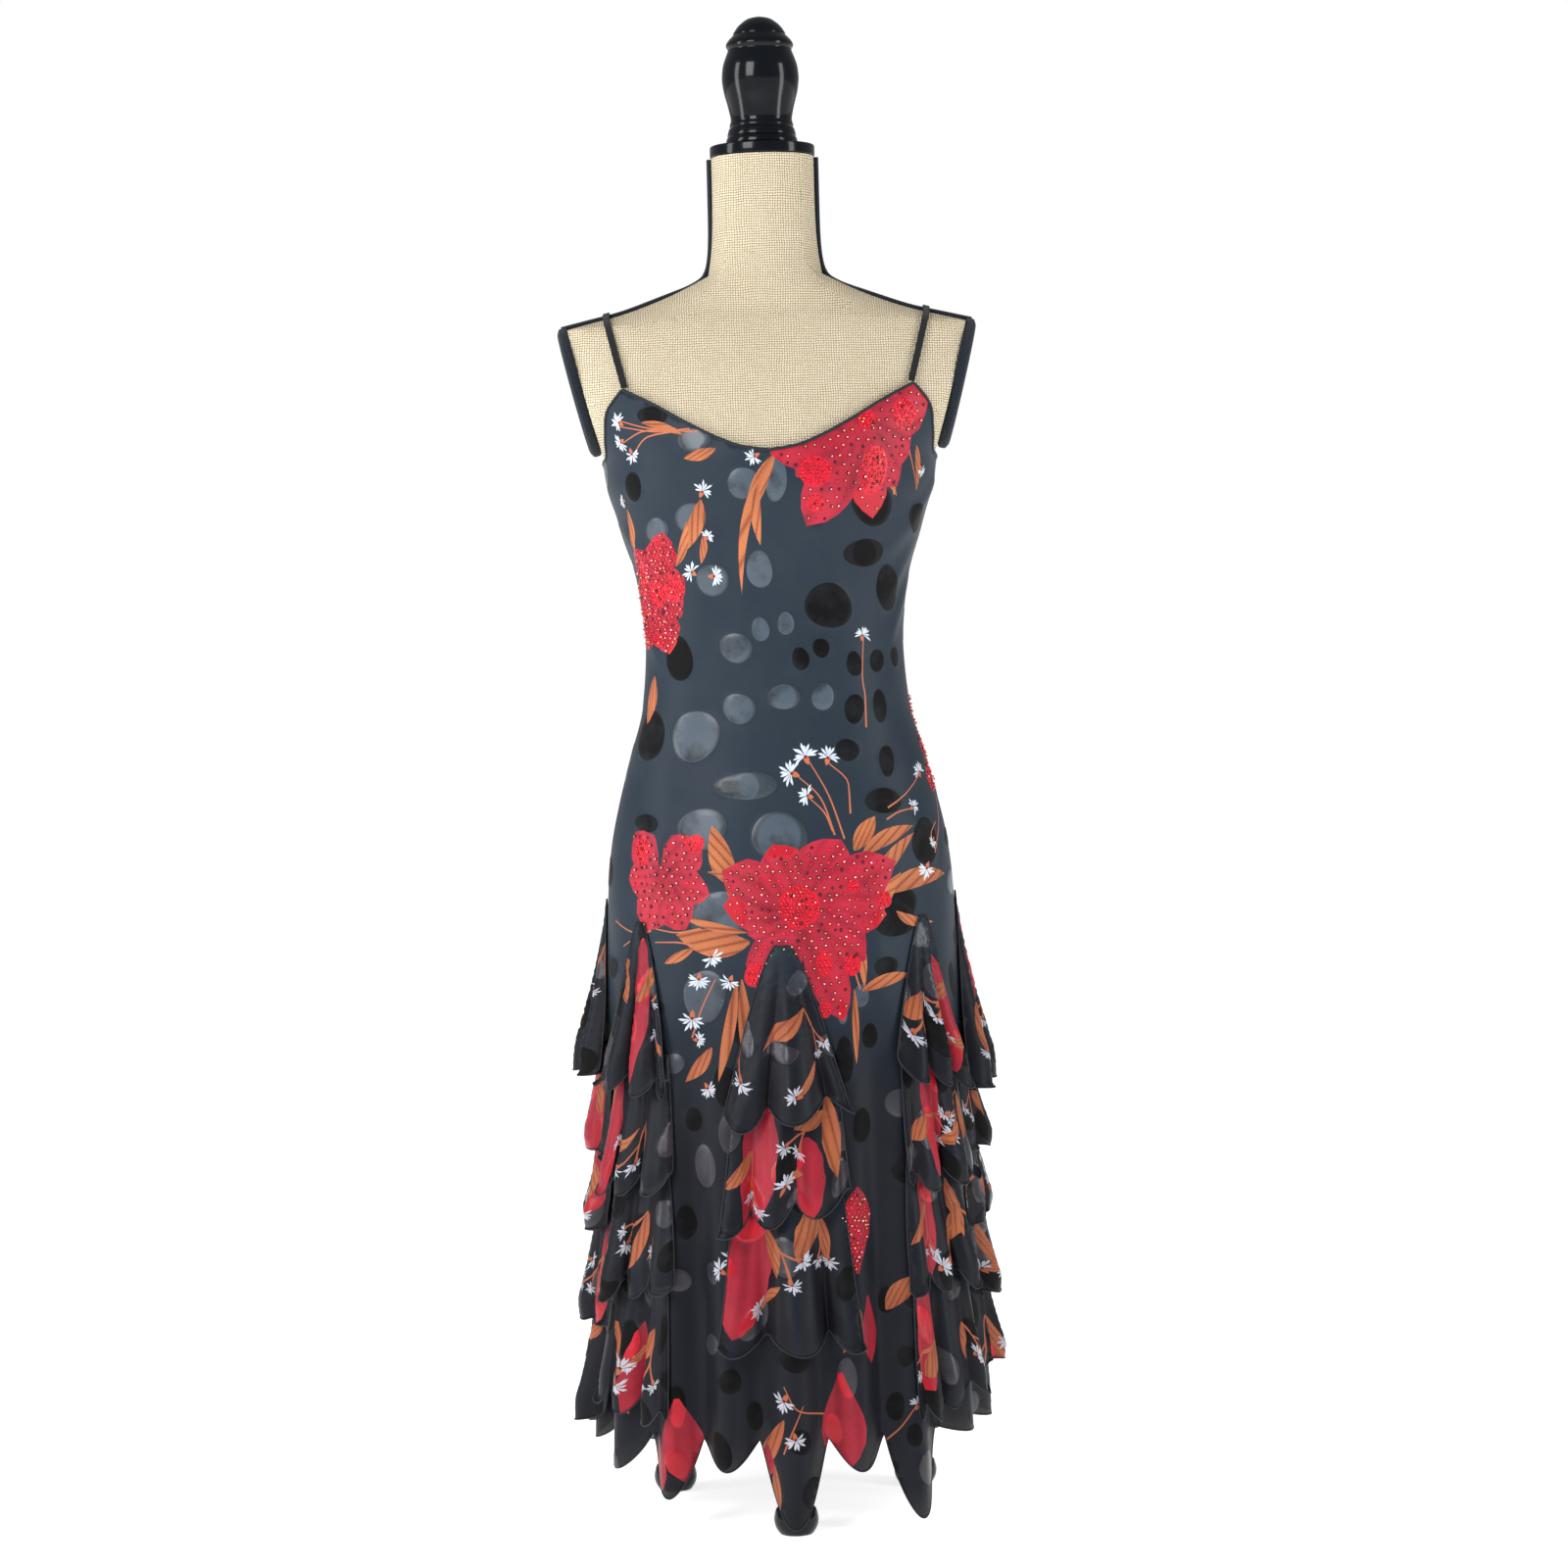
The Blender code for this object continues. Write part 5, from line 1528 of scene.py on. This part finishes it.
def cloth_material(dye):
    tree, shader = new_material(
        dye.kind, Roughness=dye.rough, Specular_IOR_Level=dye.gloss,
        Sheen_Weight=dye.sheen, Sheen_Roughness=0.4)
    place = uv_place(tree, "cloth")
    first = tuple(getattr(bpy.context.scene.dress_colours, dye.kind))
    mottle = use_group(tree, "soft_mottle", Place=place, Size=0.035, Grain=0.0011)
    share = scaled(tree, mottle["Tone"], 1.6, -0.3, clamp=True)
    if dye.kind in ("leaf", "red_petal"):
        share = motif_shading(tree, dye.kind, share)
    elif dye.kind.endswith(("dot", "glow")):
        share = dot_painted_light(tree, mottle["Tone"])
    colour = blend_colour(tree, share, first, dye.second)
    fine = scaled(tree, mottle["Fine"], 1.5, -0.55, clamp=True)
    speck = tuple(min(tone * SPECK_GAIN, 1.0) for tone in first)
    colour = blend_colour(tree, times(tree, fine, 0.45), colour, speck)
    sheer = use_group(tree, "sheer_cloth", Clear=dye.clear)
    if dye.kind == "ground":
        colour = blend_colour(tree, sheer["Thin"], colour, SHEER_TINT)
    # Painted shade: deep folds and the lower skirt darken towards this shade tone
    shade = tuple(tone * part for tone, part in zip(first, FOLD_SHADE))
    darkest = 0.90 if dye.kind in ("ground", "satin_dot") else 0.45
    colour = blend_colour(tree, times(tree, sheer["Deep"], darkest), colour, shade)
    feed(tree, shader, Base_Color=colour, Alpha=sheer["Alpha"])
    bump(tree, shader, mottle["Fine"], dye.grain_height, 0.5)


def dot_painted_light(tree, tone):
    """A burnt-out dot with a random cloudy tone: painted light on one side of its pile, painted
    shade on the other, and a painted rim in its second tone.
    """
    up, across, _ = split(tree, uv_place(tree, "motif"))
    squares = [times(tree, part, part) for part in (up, across)]
    reach = maths(tree, "SQRT", maths(tree, "ADD", *squares))
    # Painted rim in the dot's second tone
    rim = scaled(tree, reach, 14.0, -6.2, clamp=True)
    cloud = scaled(tree, tone, 5.0, -2.45)
    # Painted light and shade: one side of the pile lighter than the other
    side = scaled(tree, across, -0.7, cloud, clamp=True)
    return maths(tree, "MAXIMUM", side, times(tree, rim, 0.7))


def motif_shading(tree, kind, tone):
    """Veins along a leaf, or a petal that darkens towards its root and its rim."""
    along, across, _ = split(tree, uv_place(tree, "motif"))
    if kind == "leaf":
        slant = times(tree, along, 3.0)
        vein = node_wave(tree, scaled(tree, across, 52.0, slant))
        vein = maths(tree, "POWER", vein, 4.0)
        root = maths(tree, "SUBTRACT", 0.62, along, clamp=True)
        half = scaled(tree, across, 2.2, 0.1, clamp=True)
        shade = scaled(tree, vein, 0.80, times(tree, half, 0.55))
        return maths(tree, "ADD", shade, times(tree, root, 0.7), clamp=True)
    root = maths(tree, "SUBTRACT", 0.80, along, clamp=True)
    streak = node_wave(tree, times(tree, across, 30.0))
    streak = maths(tree, "POWER", streak, 2.0)
    rim = scaled(tree, maths(tree, "ABSOLUTE", across), 3.0, -0.9, clamp=True)
    shade = scaled(tree, streak, 0.40, times(tree, root, 0.45))
    shade = scaled(tree, rim, 0.45, shade)
    return scaled(tree, tone, 0.9, maths(tree, "SUBTRACT", shade, 0.35), clamp=True)


def burlap_material(name, pale, aged_shares, deep, pitch, gap_share):
    """Woven cloth of coarse threads, browner in places and dark between its threads."""
    tree, shader = new_material(name, Roughness=0.92, Specular_IOR_Level=0.15)
    brown = tuple(tone * share for tone, share in zip(pale, aged_shares))
    place = uv_place(tree, "cloth")
    weave = use_group(tree, "thread_weave", Place=place, Pitch=pitch, Slub=0.55)
    mottle = use_group(tree, "soft_mottle", Place=object_place(tree), Size=0.06, Grain=0.0009)
    tone = scaled(tree, weave["Tone"], 1.5, -0.35, clamp=True)
    colour = blend_colour(tree, tone, pale, brown)
    age = scaled(tree, mottle["Tone"], 1.2, -0.35, clamp=True)
    aged = blend_colour(tree, times(tree, age, 0.45), colour, brown)
    gap = times(tree, weave["Gap"], gap_share)
    fibre = scaled(tree, mottle["Fine"], 0.5, -0.1, clamp=True)
    aged = blend_colour(tree, times(tree, fibre, 0.35), aged, pale)
    feed(tree, shader, Base_Color=blend_colour(tree, gap, aged, deep))
    bump(tree, shader, weave["Height"], 0.0006)


# Ribs of the knitted braid and of the strap ribbon, in radians a metre
BRAID_RIBS, RIBBON_RIBS = 2600.0, 7000.0


def braid_material():
    tree, shader = new_material(
        "knitted_braid", Roughness=0.8, Specular_IOR_Level=0.15, Sheen_Weight=0.1)
    x, y, z = split(tree, object_place(tree))
    spread = maths(tree, "ADD", maths(tree, "ABSOLUTE", x), y)
    ribs = []
    for side in (1.0, -1.0):
        slant = scaled(tree, z, side, spread)
        ribs.append(node_wave(tree, times(tree, slant, BRAID_RIBS)))
    loops = maths(tree, "MAXIMUM", *ribs)
    colour = blend_colour(tree, loops, (0.003, 0.004, 0.007), (0.016, 0.024, 0.036))
    feed(tree, shader, Base_Color=colour)
    bump(tree, shader, loops, 0.0005)


def paint_material():
    tree, shader = new_material(
        "black_paint", Specular_IOR_Level=0.07, Coat_Weight=0.30, Coat_Roughness=0.09)
    place = object_place(tree)
    mottle = use_group(tree, "soft_mottle", Place=place, Size=0.02, Grain=0.0015)
    colour = blend_colour(
        tree, mottle["Tone"], (0.0010, 0.0018, 0.0030), (0.0030, 0.0046, 0.0072))
    feed(tree, shader, Base_Color=colour)
    feed(tree, shader, Roughness=scaled(tree, mottle["Fine"], 0.14, 0.14))
    bump(tree, shader, mottle["Tone"], 0.0006, 0.35)


def trim_material():
    tree, shader = new_material(
        "rolled_hem", Roughness=0.6, Specular_IOR_Level=0.2, Sheen_Weight=0.08)
    mottle = use_group(tree, "soft_mottle", Place=object_place(tree), Size=0.01, Grain=0.0008)
    colour = blend_colour(tree, mottle["Tone"], (0.007, 0.009, 0.011), (0.024, 0.030, 0.036))
    feed(tree, shader, Base_Color=colour)
    bump(tree, shader, mottle["Fine"], 0.0003)


# Beads and sequins: base colour, darker colour, metal share and roughness
Glint = namedtuple("Glint", "name first second metal rough")
GLINTS = named_rows(Glint, (
    ("gold_bead", (0.95, 0.62, 0.34), (0.60, 0.26, 0.12), 0.75, 0.16),
    ("rose_bead", (0.98, 0.72, 0.76), (0.75, 0.25, 0.32), 0.45, 0.14),
    ("dark_sequin", (0.12, 0.008, 0.013), (0.035, 0.004, 0.007), 0.35, 0.20),
    ("red_sequin", (0.74, 0.012, 0.040), (0.40, 0.006, 0.016), 0.30, 0.16),
))


def glint_material(glint):
    tree, shader = new_material(glint.name, Metallic=glint.metal)
    grain = noise(tree, Vector=object_place(tree), Scale=320.0, Detail=0.0)
    share = scaled(tree, grain[0], 3.0, -1.0, clamp=True)
    feed(tree, shader, Base_Color=blend_colour(tree, share, glint.first, glint.second))
    feed(tree, shader, Roughness=scaled(tree, share, 0.15, glint.rough))


# Hard pieces
SMOOTH_LEVELS = 2


def refined(node, name, material, sharp=35.0, swell=0.0, hard=0.92, ring_at=None):
    """A smooth copy of a CAD node: merged, its hard edges creased, then divided."""
    obj = linked(name, frame["nodes"][node].data.copy())
    only(obj)
    obj.data.materials.clear()
    obj.data.materials.append(bpy.data.materials[material])
    bpy.ops.object.mode_set(mode="EDIT")
    bpy.ops.mesh.select_mode(type="EDGE")
    bpy.ops.mesh.select_all(action="SELECT")
    bpy.ops.mesh.remove_doubles(threshold=0.00001)
    bpy.ops.mesh.tris_convert_to_quads(
        face_threshold=math.radians(30), shape_threshold=math.radians(60))
    if ring_at is not None:
        bpy.ops.mesh.select_all(action="SELECT")
        bpy.ops.mesh.bisect(plane_co=(0, 0, ring_at), plane_no=(0, 0, 1))
    bpy.ops.mesh.select_all(action="DESELECT")
    bpy.ops.mesh.edges_select_sharp(sharpness=math.radians(sharp))
    bpy.ops.transform.edge_crease(value=hard)
    bpy.ops.object.mode_set(mode="OBJECT")
    smoothing = obj.modifiers.new("Smooth", "SUBSURF")
    smoothing.levels = smoothing.render_levels = SMOOTH_LEVELS
    if swell:
        fuller = obj.modifiers.new("Swell", "DISPLACE")
        fuller.strength, fuller.mid_level = swell, 0.0
    apply_modifiers(obj)
    obj.data.shade_smooth()
    stand_for(obj, node)
    return obj


def side_mapped(obj):
    """A flat UV map in metres, taken from the side that each face looks to."""
    mesh = obj.data
    uv = mesh.uv_layers.new(name="cloth")
    for face in mesh.polygons:
        size = [abs(part) for part in face.normal]
        first, second = ((1, 2), (0, 2), (0, 1))[size.index(max(size))]
        for loop in face.loop_indices:
            point = mesh.vertices[mesh.loops[loop].vertex_index].co
            uv.data[loop].uv = (point[first], point[second])


def turned(name, profile, node, sides):
    """A turned piece: a disc drawn up ring by ring along its profile, from the bottom."""
    bpy.ops.object.select_all(action="DESELECT")
    radius, height = profile[0]
    bpy.ops.mesh.primitive_circle_add(
        vertices=sides, radius=radius, fill_type="NGON", location=(0, 0, height))
    obj = bpy.context.object
    obj.name = obj.data.name = name
    bpy.ops.object.transform_apply(location=True)
    bpy.ops.object.mode_set(mode="EDIT")
    bpy.ops.mesh.select_all(action="SELECT")
    for next_radius, next_height in profile[1:]:
        bpy.ops.mesh.extrude_region_move(
            TRANSFORM_OT_translate={"value": (0, 0, next_height - height)})
        grow = next_radius / radius
        bpy.ops.transform.resize(value=(grow, grow, 1), center_override=(0, 0, next_height))
        radius, height = next_radius, next_height
    bpy.ops.mesh.select_all(action="SELECT")
    bpy.ops.mesh.remove_doubles(threshold=0.000005)
    bpy.ops.mesh.normals_make_consistent(inside=False)
    bpy.ops.object.mode_set(mode="OBJECT")
    obj.data.materials.append(bpy.data.materials["black_paint"])
    bpy.ops.object.shade_smooth_by_angle(angle=math.radians(32))
    stand_for(obj, node)


# Finial: radius and height of its profile, from the tip down to the neck plate
FINIAL = (
    (0.0000, 1.3500), (0.0110, 1.3478), (0.0190, 1.3415), (0.0229, 1.3358), (0.0236, 1.3342),
    (0.0234, 1.3332), (0.0252, 1.3314), (0.0282, 1.3284), (0.0300, 1.3256), (0.0305, 1.3236),
    (0.0298, 1.3214), (0.0285, 1.3200), (0.0291, 1.3182), (0.0338, 1.3060), (0.0350, 1.2940),
    (0.0334, 1.2820), (0.0300, 1.2700), (0.0276, 1.2588), (0.0277, 1.2556), (0.0288, 1.2522),
    (0.0290, 1.2508), (0.0280, 1.2499), (0.0294, 1.2490), (0.0301, 1.2468), (0.0312, 1.2426),
    (0.0302, 1.2416), (0.0316, 1.2406), (0.0327, 1.2358), (0.0318, 1.2349), (0.0330, 1.2342),
    (0.0330, 1.2337),
)
FINIAL_STEPS, FINIAL_ROUNDS = 4, 2
PLATE_RADIUS, PLATE_FOOT, PLATE_TOP, PLATE_EDGE = 0.0473, 1.2228, 1.2334, 0.0016


def finial_profile():
    """The finial's rings from the foot up, with extra rings between the named ones."""
    corners = FINIAL[::-1]
    path = np.concatenate(([0], np.cumsum([math.dist(a, b) for a, b in zip(corners, corners[1:])])))
    at = np.concatenate([
        np.linspace(start, end, FINIAL_STEPS, endpoint=False) for start, end in zip(path, path[1:])
    ] + [path[-1:]])
    radii = np.interp(at, path, [corner[0] for corner in corners])
    heights = np.interp(at, path, [corner[1] for corner in corners])
    relax(radii, FINIAL_ROUNDS)
    relax(heights, FINIAL_ROUNDS)
    return list(zip(radii.tolist(), heights.tolist()))


def plate_profile():
    """The neck plate: a flat disc with a rounded rim."""
    turn = np.linspace(0, math.pi / 2, 6)
    inner, low, high = PLATE_RADIUS - PLATE_EDGE, PLATE_FOOT + PLATE_EDGE, PLATE_TOP - PLATE_EDGE
    lower = [(inner + PLATE_EDGE * math.sin(a), low - PLATE_EDGE * math.cos(a)) for a in turn]
    upper = [(inner + PLATE_EDGE * math.cos(a), high + PLATE_EDGE * math.sin(a)) for a in turn]
    return lower + upper


# The strap's measure round half its section, its cut width and its worn width
STRAP_ROUND, STRAP_CUT, STRAP_WIDTH = 0.0075, 0.010, 0.0062


def strap(side):
    """A narrow ribbon strap, lying as its CAD solid does."""
    made = refined("strap_" + side, "shoulder_strap_" + side, "strap_ribbon", 40)
    length = sum(face.area for face in made.data.polygons) / 2 / STRAP_ROUND


def strap_material():
    tree, shader = new_material(
        "strap_ribbon", Roughness=0.5, Specular_IOR_Level=0.2, Sheen_Weight=0.08)
    _, y, z = split(tree, object_place(tree))
    rib = node_wave(tree, times(tree, maths(tree, "ADD", y, z), RIBBON_RIBS))
    colour = blend_colour(tree, rib, (0.004, 0.004, 0.005), (0.014, 0.015, 0.018))
    feed(tree, shader, Base_Color=colour)
    bump(tree, shader, rib, 0.0002)


def stage_material(name, colour, glow):
    tree, shader = new_material(name, Roughness=0.9)
    mottle = use_group(tree, "soft_mottle", Place=object_place(tree), Size=0.8, Grain=0.004)
    pale = tuple(tone * 0.985 for tone in colour)
    shade = blend_colour(tree, mottle["Tone"], colour, pale)
    feed(tree, shader, Base_Color=shade, Emission_Color=shade, Emission_Strength=glow)


def softbox(name, place, size, power):
    """A square studio light that looks at the dress."""
    light = bpy.data.lights.new(name, "AREA")
    light.shape = "RECTANGLE"
    light.size, light.size_y, light.energy = size[0], size[1], power
    obj = linked(name, light)
    obj.location = place
    obj.rotation_euler = (Vector(LIGHTS_AIM) - Vector(place)).to_track_quat("-Z", "Y").to_euler()


# Sizes and colours that a user would change
def tint(label, colour):
    return FloatVectorProperty(
        name=label, description=f"Colour of the {label.lower()}", subtype="COLOR", size=3,
        default=colour, min=0.0, max=1.0)


class DressColours(PropertyGroup):
    ground: tint("Chiffon ground", (0.0132, 0.0222, 0.0360))
    # Painted sheen: the pile dots as they look where they catch the light
    satin_dot: tint("Satin dots", (0.052, 0.072, 0.096))
    velvet_dot: tint("Velvet dots", (0.0022, 0.0022, 0.0028))
    leaf: tint("Leaves", (0.46, 0.150, 0.058))
    stem: tint("Stems", (0.38, 0.125, 0.055))
    red_petal: tint("Flowers", (0.42, 0.017, 0.040))
    red_glow: tint("Flowers over a dot", (0.62, 0.004, 0.022))
    daisy: tint("Daisies", (0.52, 0.60, 0.70))
    core: tint("Daisy hearts", (0.24, 0.012, 0.018))
    burlap: tint("Burlap", (0.83, 0.762, 0.600))
    plate: tint("Arm plate cloth", (0.80, 0.62, 0.52))


class DressSizes(PropertyGroup):
    cloth_spacing: FloatProperty(
        name="Cloth spacing", description="Distance between the points of the dress cloth",
        default=0.0050, min=0.003, max=0.02, unit="LENGTH")
    thread_pitch: FloatProperty(
        name="Burlap thread pitch", description="Distance between two threads of the burlap",
        default=0.0022, min=0.0005, max=0.01, unit="LENGTH")
    finial_sides: IntProperty(
        name="Finial sides", description="Faces round the finial and the neck plate",
        default=96, min=24, max=256)


class StudioLook(PropertyGroup):
    floor: tint("Floor", (0.93, 0.93, 0.93))
    key_power: FloatProperty(
        name="Key light", description="Power of the large light at the front", default=66.0,
        min=0.0, unit="POWER")
    side_power: FloatProperty(
        name="Side lights", description="Power of the lights at the two sides", default=26.0,
        min=0.0, unit="POWER")
    sky: FloatProperty(
        name="Soft surround", description="Strength of the soft light from all round",
        default=0.34, min=0.0)
    glow: FloatProperty(
        name="Floor glow", description="How far the floor is lit up to white", default=0.84,
        min=0.0)


# Aged tones of the burlap beside its own colour, the dark in its gaps, and the same for linen
BURLAP_AGED, BURLAP_GAP, BURLAP_GAP_SHARE = (0.76, 0.68, 0.56), (0.17, 0.105, 0.045), 1.0
LINEN_AGED, LINEN_GAP, LINEN_GAP_SHARE = (0.86, 0.86, 0.86), (0.42, 0.30, 0.24), 0.4
LINEN_PITCH = 0.0010


class MakeFinishes(Operator):
    """Makes the cloth, cord, paint and bead finishes that the pieces are covered with"""

    bl_idname = "slip_dress.finishes"
    bl_label = "Finishes"

    def execute(self, context):
        colours, sizes = context.scene.dress_colours, context.scene.dress_sizes
        for make in (weave_group, mottle_group, sheer_group, braid_material, paint_material,
                     trim_material, strap_material):
            make()
        for dye in DYES:
            cloth_material(dye)
        for glint in GLINTS:
            glint_material(glint)
        burlap_material("form_burlap", tuple(colours.burlap), BURLAP_AGED, BURLAP_GAP,
                        sizes.thread_pitch, BURLAP_GAP_SHARE)
        burlap_material("plate_linen", tuple(colours.plate), LINEN_AGED, LINEN_GAP,
                        LINEN_PITCH, LINEN_GAP_SHARE)
        return {"FINISHED"}


NECK_RING_Z = 1.2195


class MakeForm(Operator):
    """Covers the dress form in burlap"""

    bl_idname = "slip_dress.form"
    bl_label = "Dress form"

    def execute(self, context):
        form = refined("form_torso", "form_cloth", "form_burlap", hard=1.0,
                       ring_at=NECK_RING_Z)
        side_mapped(form)
        only(form)
        bpy.ops.object.shade_smooth_by_angle(angle=math.radians(35))
        return {"FINISHED"}


BRAID_SWELL = 0.0012
# The braid down the neck and along the shoulder: its places across and up, then its section
SEAM_ROUTE = (
    (0.0465, 1.2221), (0.0465, 1.1900), (0.0466, 1.1560), (0.0475, 1.1380), (0.0496, 1.1240),
    (0.0545, 1.1135), (0.0690, 1.1055), (0.0900, 1.0982), (0.1290, 1.0840), (0.1560, 1.0780),
    (0.1850, 1.0712),
)
SEAM_STEPS, SEAM_ROUNDS = 8, 12
SEAM_HALF_WIDTH, SEAM_HIGH, SEAM_SUNK = 0.0046, 0.0054, 0.0012


def seam_cord(side, sign):
    """A flat knitted braid laid over the seam from the neck plate to the arm plate."""
    route = np.array(SEAM_ROUTE)
    at = np.linspace(0, len(route) - 1, SEAM_STEPS * (len(route) - 1) + 1)
    keys = np.arange(len(route))
    x, z = (np.interp(at, keys, route[:, axis]) for axis in (0, 1))
    relax(x, SEAM_ROUNDS)
    relax(z, SEAM_ROUNDS)
    path = np.stack((sign * x, np.zeros(len(x)), z), -1)
    run = np.gradient(path, axis=0)
    up = unit(np.stack((-sign * run[:, 2], np.zeros(len(x)), sign * run[:, 0]), -1))
    cord = tube(f"seam_cord_{side}", path + up * (SEAM_HIGH / 2 - SEAM_SUNK), up, SEAM_HALF_WIDTH,
                SEAM_HIGH / 2 / SEAM_HALF_WIDTH, 12)
    cord.data.materials[0] = bpy.data.materials["knitted_braid"]
    stand_for(cord, f"seam_braid_{side}")


class MakeArmPlates(Operator):
    """Makes the round arm plates, their braids and the braids along the side seams"""

    bl_idname = "slip_dress.arm_plates"
    bl_label = "Arm plates and braids"

    def execute(self, context):
        for side, sign in (("left", -1), ("right", 1)):
            plate = refined(f"arm_plate_{side}", f"plate_{side}", "plate_linen")
            side_mapped(plate)
            refined(f"arm_braid_{side}", f"arm_cord_{side}", "knitted_braid",
                    swell=BRAID_SWELL)
            seam_cord(side, sign)
        return {"FINISHED"}


class MakeNeck(Operator):
    """Turns the finial and the neck plate"""

    bl_idname = "slip_dress.neck"
    bl_label = "Neck plate and finial"

    def execute(self, context):
        sides = context.scene.dress_sizes.finial_sides
        turned("turned_finial", finial_profile(), "finial", sides)
        turned("turned_neck_plate", plate_profile(), "neck_plate", sides)
        return {"FINISHED"}


class MakeStand(Operator):
    """Makes the pole, the hub and the three feet with their legs"""

    bl_idname = "slip_dress.stand"
    bl_label = "Stand"

    def execute(self, context):
        refined("stand_pole", "painted_pole", "black_paint")
        refined("stand_hub", "painted_hub", "black_paint")
        for place in ("front", "back_right", "back_left"):
            for part in ("leg", "foot"):
                refined(f"stand_{part}_{place}", f"{part}_{place}", "black_paint")
        return {"FINISHED"}


class MakePanels(Operator):
    """Sews the front and the back of the dress, with their hems and bindings"""

    bl_idname = "slip_dress.panels"
    bl_label = "Dress front and back"

    def execute(self, context):
        spacing = context.scene.dress_sizes.cloth_spacing
        for side, middle in (("front", 0.0), ("back", 180.0)):
            panel = dress_panel(side + "_cloth", middle, spacing)
            join(panel, *panel_trims(side, middle))
            stand_for(panel, "dress_" + side)
            outline = panel_outline(arc_table(middle), middle)
        return {"FINISHED"}


class MakeStraps(Operator):
    """Makes the two narrow shoulder straps"""

    bl_idname = "slip_dress.straps"
    bl_label = "Shoulder straps"

    def execute(self, context):
        strap("left")
        strap("right")
        return {"FINISHED"}


class MakeFlounces(Operator):
    """Gathers the tiers of flounces round the skirt"""

    bl_idname = "slip_dress.flounces"
    bl_label = "Flounces"

    def execute(self, context):
        for index, column in enumerate(COLUMNS):
            for number, tier in enumerate(column.tiers, 1):
                ruffle(column, index, number, tier)
        return {"FINISHED"}


class MakeBeads(Operator):
    """Sews sequins and beads over the red flowers"""

    bl_idname = "slip_dress.beads"
    bl_label = "Sequins and beads"

    def execute(self, context):
        flower_beads()
        return {"FINISHED"}


# The camera stands as the photograph's did, turned by the same small lean
CAMERA_LENS, SENSOR_WIDTH = 91.0, 36.0
CAMERA_PITCH = 2.28
CAMERA_ASIDE = 0.0054
FLOOR_SIZE = 60.0
WHITE = (1.0, 1.0, 1.0, 1.0)
# The studio lights: name, place, size and whose power each takes; all look at one place
LIGHTS_AIM = (0, 0, 0.75)
Light = namedtuple("Light", "name place size power")
LIGHTS = named_rows(Light, (
    ("key_light", (-1.6, -2.6, 2.2), (1.2, 1.6), "key_power"),
    ("left_light", (-2.2, -0.6, 1.4), (0.5, 2.0), "side_power"),
    ("right_light", (2.2, -0.9, 1.3), (0.5, 2.0), "side_power"),
))


def white_surround(sky):
    """Soft light from all round, which the camera sees as plain white."""
    world = bpy.data.worlds.new("white_surround")
    world.use_nodes = True
    tree = world.node_tree
    soft, white = tree.nodes["Background"], add_node(tree, "ShaderNodeBackground")
    feed(tree, soft, Color=WHITE, Strength=sky)
    feed(tree, white, Color=WHITE, Strength=1.0)
    seen = add_node(tree, "ShaderNodeLightPath").outputs["Is Camera Ray"]
    both = add_node(tree, "ShaderNodeMixShader")
    feed(tree, both, i0=seen, i1=soft.outputs[0], i2=white.outputs[0])
    feed(tree, tree.nodes["World Output"], Surface=both.outputs[0])
    return world


def photo_camera():
    camera = bpy.data.cameras.new("photo_camera")
    camera.lens, camera.sensor_width = CAMERA_LENS, SENSOR_WIDTH
    view = linked("photo_camera", camera)
    tilt = Matrix.Rotation(math.radians(90 - CAMERA_PITCH), 4, "X")
    roll = Matrix.Rotation(-LEAN, 4, "Z")
    place = (CAMERA_ASIDE, -CAMERA_DISTANCE, CAMERA_HEIGHT)
    view.matrix_world = Matrix.Translation(place) @ tilt @ roll
    return view


class MakeStage(Operator):
    """Lays the pale floor and sets the lights and the camera"""

    bl_idname = "slip_dress.stage"
    bl_label = "Floor, lights and camera"

    def execute(self, context):
        look, scene = context.scene.studio_look, context.scene
        bpy.ops.object.select_all(action="DESELECT")
        bpy.ops.mesh.primitive_plane_add(size=FLOOR_SIZE)
        floor = context.object
        floor.name = floor.data.name = "studio_floor"
        stage_material("pale_floor", tuple(look.floor), look.glow)
        floor.data.materials.append(bpy.data.materials["pale_floor"])
        scene.world = white_surround(look.sky)
        scene.view_settings.view_transform = "Standard"
        for light in LIGHTS:
            softbox(light.name, light.place, light.size, getattr(look, light.power))
        scene.camera = photo_camera()
        return {"FINISHED"}


class SlipDressPanel(Panel):
    """Lists the steps that make the dress and its form"""

    bl_idname = "VIEW3D_PT_slip_dress"
    bl_label = "Slip dress"
    bl_space_type = "VIEW_3D"
    bl_region_type = "UI"
    bl_category = "Slip dress"

    def draw(self, context):
        scene = context.scene
        for group in (scene.dress_colours, scene.dress_sizes, scene.studio_look):
            box = self.layout.box()
            for name in group.__annotations__:
                box.prop(group, name)
        for step in STEPS:
            self.layout.operator(step.bl_idname)


STEPS = (MakeFinishes, MakeForm, MakeArmPlates, MakeNeck, MakeStand, MakePanels, MakeStraps,
         MakeFlounces, MakeBeads, MakeStage)
GROUPS = (("dress_colours", DressColours), ("dress_sizes", DressSizes), ("studio_look", StudioLook))


def register():
    for name, group in GROUPS:
        bpy.utils.register_class(group)
        setattr(bpy.types.Scene, name, PointerProperty(type=group))
    for kind in (*STEPS, SlipDressPanel):
        bpy.utils.register_class(kind)


def unregister():
    for kind in (SlipDressPanel, *reversed(STEPS)):
        bpy.utils.unregister_class(kind)
    for name, group in reversed(GROUPS):
        delattr(bpy.types.Scene, name)
        bpy.utils.unregister_class(group)


def main():
    register()
    for step in STEPS:
        operator = getattr(bpy.ops.slip_dress, step.bl_idname.split(".")[1])
        if operator() != {"FINISHED"}:
            raise RuntimeError(f"{step.bl_label} did not finish")


if __name__ == "__main__":
    main()
